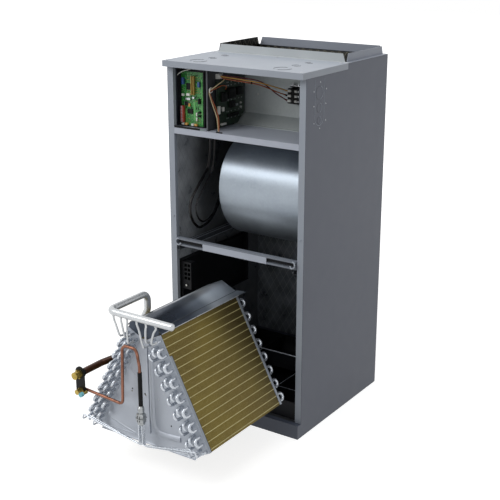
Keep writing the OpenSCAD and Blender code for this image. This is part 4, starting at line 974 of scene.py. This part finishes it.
# pale centre of the drain plug
low, high = [Vector(corner) * 1000 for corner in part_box("drain_plug")]
mesh = bmesh.new()
addLathe(mesh, ((low.x + high.x) / 2, low.y, (low.z + high.z) / 2), (0, -1, 0),
         [(3.6, -0.5), (3.6, 0.5), (2.6, 1.1)], 0, 20)
finishPiece(mesh, "drainPlugCentre", ["nylonWhite"], "cabinet")

# black strip along the front edge of the shelf: left end, right end and top of each length
shelfStrip = {"front": 1.4, "back": 6, "foot": 1010, "lengths": ((-245, -142, 1016), (-74, -50, 1014))}
mesh = bmesh.new()
for left, right, top in shelfStrip["lengths"]:
    addBox(mesh, (left, shelfStrip["front"], shelfStrip["foot"]), (right, shelfStrip["back"], top), 0, 0.8)
finishPiece(mesh, "shelfBlackStrip", ["foamSleeve"], "cabinet")

tie = {"radius": 1.8, "route": [(-245.6, 24, 1183), (-232, 20, 1192), (-214, 20, 1200), (-196, 30, 1205)]}
mesh = bmesh.new()
addTube(mesh, smoothPath(tie["route"], 8), tie["radius"], 0, 10)
finishPiece(mesh, "cableTie", ["nylonWhite"], "cabinet")

addScrews("backPanelRivets", facingFront(230, ((-60, 1108), (-95, 1012.5), (90, 1108))), 3.0, 1.6,
          "cabinet", (), "nylonWhite")

# dark strip in the middle rail's recess and dark line at the foot fold of the panel behind the boards, both
# painted shade;
# light lines on the edges of the side ledges and on the rims of the pan's opening, painted highlights
trims = {"railHalf": 236, "railFoot": 607.2, "railTop": 613.8, "foldZ": 1035, "ledgeTop": 600.9,
         "ledgeDrop": 18, "ledgeEdge": 226, "ledgeWall": 240, "ledgeBack": 524, "rim": 112.7, "rimX": 111,
         "rimY": (99.5, 347.5)}
mesh = bmesh.new()
addBox(mesh, (-trims["railHalf"], 0.5, trims["railFoot"]), (trims["railHalf"], 7.9, trims["railTop"]), 0, 0.5)
addTube(mesh, [(-116, 229.6, trims["foldZ"]), (240, 229.6, trims["foldZ"])], 0.9, 0, 8)
for sign in (-1, 1):
    edge, wall = sign * trims["ledgeEdge"], sign * trims["ledgeWall"]
    for z in (trims["ledgeTop"], trims["ledgeTop"] - trims["ledgeDrop"]):
        addTube(mesh, [(edge, 2, z), (edge, trims["ledgeBack"], z)], 0.9, 1, 8)
    addTube(mesh, [(wall, y, trims["ledgeTop"]) for y in (16, trims["ledgeBack"])], 0.7, 1, 8)
    addTube(mesh, [(sign * trims["rimX"], y, trims["rim"]) for y in trims["rimY"]], 0.9, 1, 8)
for y, radius in zip(trims["rimY"], (0.8, 2.0)):
    addTube(mesh, [(x, y, trims["rim"]) for x in (-250, 250)], radius, 1, 8)
finishPiece(mesh, "shadeAndHighlightLines", ["foamSleeve", "deltaSteel"], "cabinet")

# hooked ends of the middle rail
railHook = {"reach": 238, "foot": 601, "top": 621, "front": -9, "radius": 2.6}
front, foot, top = railHook["front"], railHook["foot"], railHook["top"]
mesh = bmesh.new()
for sign in (-1, 1):
    x = sign * railHook["reach"]
    route = [(x - sign * 16, -5, foot + 6), (x - sign * 8, front, foot), (x, front - 1, foot + 3),
             (x + sign * 4, front, top - 8), (x, -6.5, top), (x - sign * 8, -4.5, top + 1)]
    addTube(mesh, smoothPath(route, 6), railHook["radius"], 0, 12)
finishPiece(mesh, "railHooks", ["enamelFront"], "cabinet")
print("cabinet details done")

# studio: the floor and the world show white to the camera and in reflections, and light the
# object only softly; the floor is painted dark where the cabinet covers it, a painted shade
studio = {"floorSize": 30.0, "floorColour": "#bdbdbd", "floorGlow": 0.80, "farGlow": 1.1, "near": 1.6,
          "far": 3.4, "ambient": 0.40, "covered": 0.266, "coverShift": (0, -0.27, 0), "hidden": "#0e0f11"}


def seenDirectly(tree):
    # 1 for the camera's own rays and for reflected and refracted ones, 0 for diffuse light
    rays = addNode(tree, "ShaderNodeLightPath").outputs
    seen = rays["Is Camera Ray"]
    for kind in ("Is Glossy Ray", "Is Transmission Ray"):
        seen = addNode(tree, "ShaderNodeMath", {0: seen, 1: rays[kind]}, operation="MAXIMUM")
    return seen


floorMesh = bpy.data.meshes.new("floor")
half = studio["floorSize"] / 2
floorMesh.from_pydata([(-half, -half, 0), (half, -half, 0), (half, half, 0), (-half, half, 0)], [],
                      [(0, 1, 2, 3)])
floor = bpy.data.objects.new("floor", floorMesh)
bpy.context.scene.collection.objects.link(floor)
floorMaterial, tree, place = startMaterial("paleFloor")
away = addNode(tree, "ShaderNodeVectorMath", {0: place}, operation="LENGTH")
glow = addNode(tree, "ShaderNodeMapRange", {0: away, 1: studio["near"], 2: studio["far"],
                                            3: studio["floorGlow"], 4: studio["farGlow"]},
               interpolation_type="SMOOTHSTEP")
shifted = addNode(tree, "ShaderNodeVectorMath", {0: place, 1: studio["coverShift"]}, operation="ADD")
folded = addNode(tree, "ShaderNodeVectorMath", {0: shifted}, operation="ABSOLUTE")
sides = addNode(tree, "ShaderNodeSeparateXYZ", {0: folded}).outputs
wider = addNode(tree, "ShaderNodeMath", {0: sides[0], 1: sides[1]}, operation="MAXIMUM")
uncovered = addNode(tree, "ShaderNodeMath", {0: wider, 1: studio["covered"]}, operation="GREATER_THAN")
shown = addNode(tree, "ShaderNodeMath", {0: seenDirectly(tree), 1: uncovered}, operation="MULTIPLY")
power = addNode(tree, "ShaderNodeMath", {0: shown, 1: glow}, operation="MULTIPLY")
lit = addNode(tree, "ShaderNodeMix", {0: uncovered, 6: toLinear(studio["hidden"]),
                                      7: toLinear(studio["floorColour"])}, data_type="RGBA")
matt = addNode(tree, "ShaderNodeBsdfDiffuse", {"Color": lit})
white = addNode(tree, "ShaderNodeEmission", {"Color": (1, 1, 1, 1), "Strength": power})
both = addNode(tree, "ShaderNodeAddShader", {0: matt, 1: white})
addNode(tree, "ShaderNodeOutputMaterial", {"Surface": both})
floorMesh.materials.append(floorMaterial)

world = bpy.data.worlds.new("studio")
bpy.context.scene.world = world
world.use_nodes = True
tree = world.node_tree
tree.nodes.clear()
soft, white = (addNode(tree, "ShaderNodeBackground", {"Color": (1, 1, 1, 1), "Strength": strength})
               for strength in (studio["ambient"], 1.0))
mixed = addNode(tree, "ShaderNodeMixShader", {0: seenDirectly(tree), 1: soft, 2: white})
addNode(tree, "ShaderNodeOutputWorld", {"Surface": mixed})

lamps = {
    "key": {"place": (-2.2, -3.2, 3.6), "aim": (0, -0.1, 0.6), "size": 2.4, "power": 90},
    "top": {"place": (0.2, 0.2, 4.6), "aim": (0, 0.2, 1.0), "size": 2.6, "power": 55},
    "fill": {"place": (3.4, -1.2, 1.6), "aim": (0, 0, 0.6), "size": 2.2, "power": 4},
}
for name, lamp in lamps.items():
    data = bpy.data.lights.new(name, "AREA")
    data.size = lamp["size"]
    data.energy = lamp["power"]
    light = bpy.data.objects.new(name, data)
    light.location = lamp["place"]
    light.rotation_euler = (Vector(lamp["aim"]) - Vector(lamp["place"])).to_track_quat("-Z", "Y").to_euler()
    bpy.context.scene.collection.objects.link(light)
print("studio done")
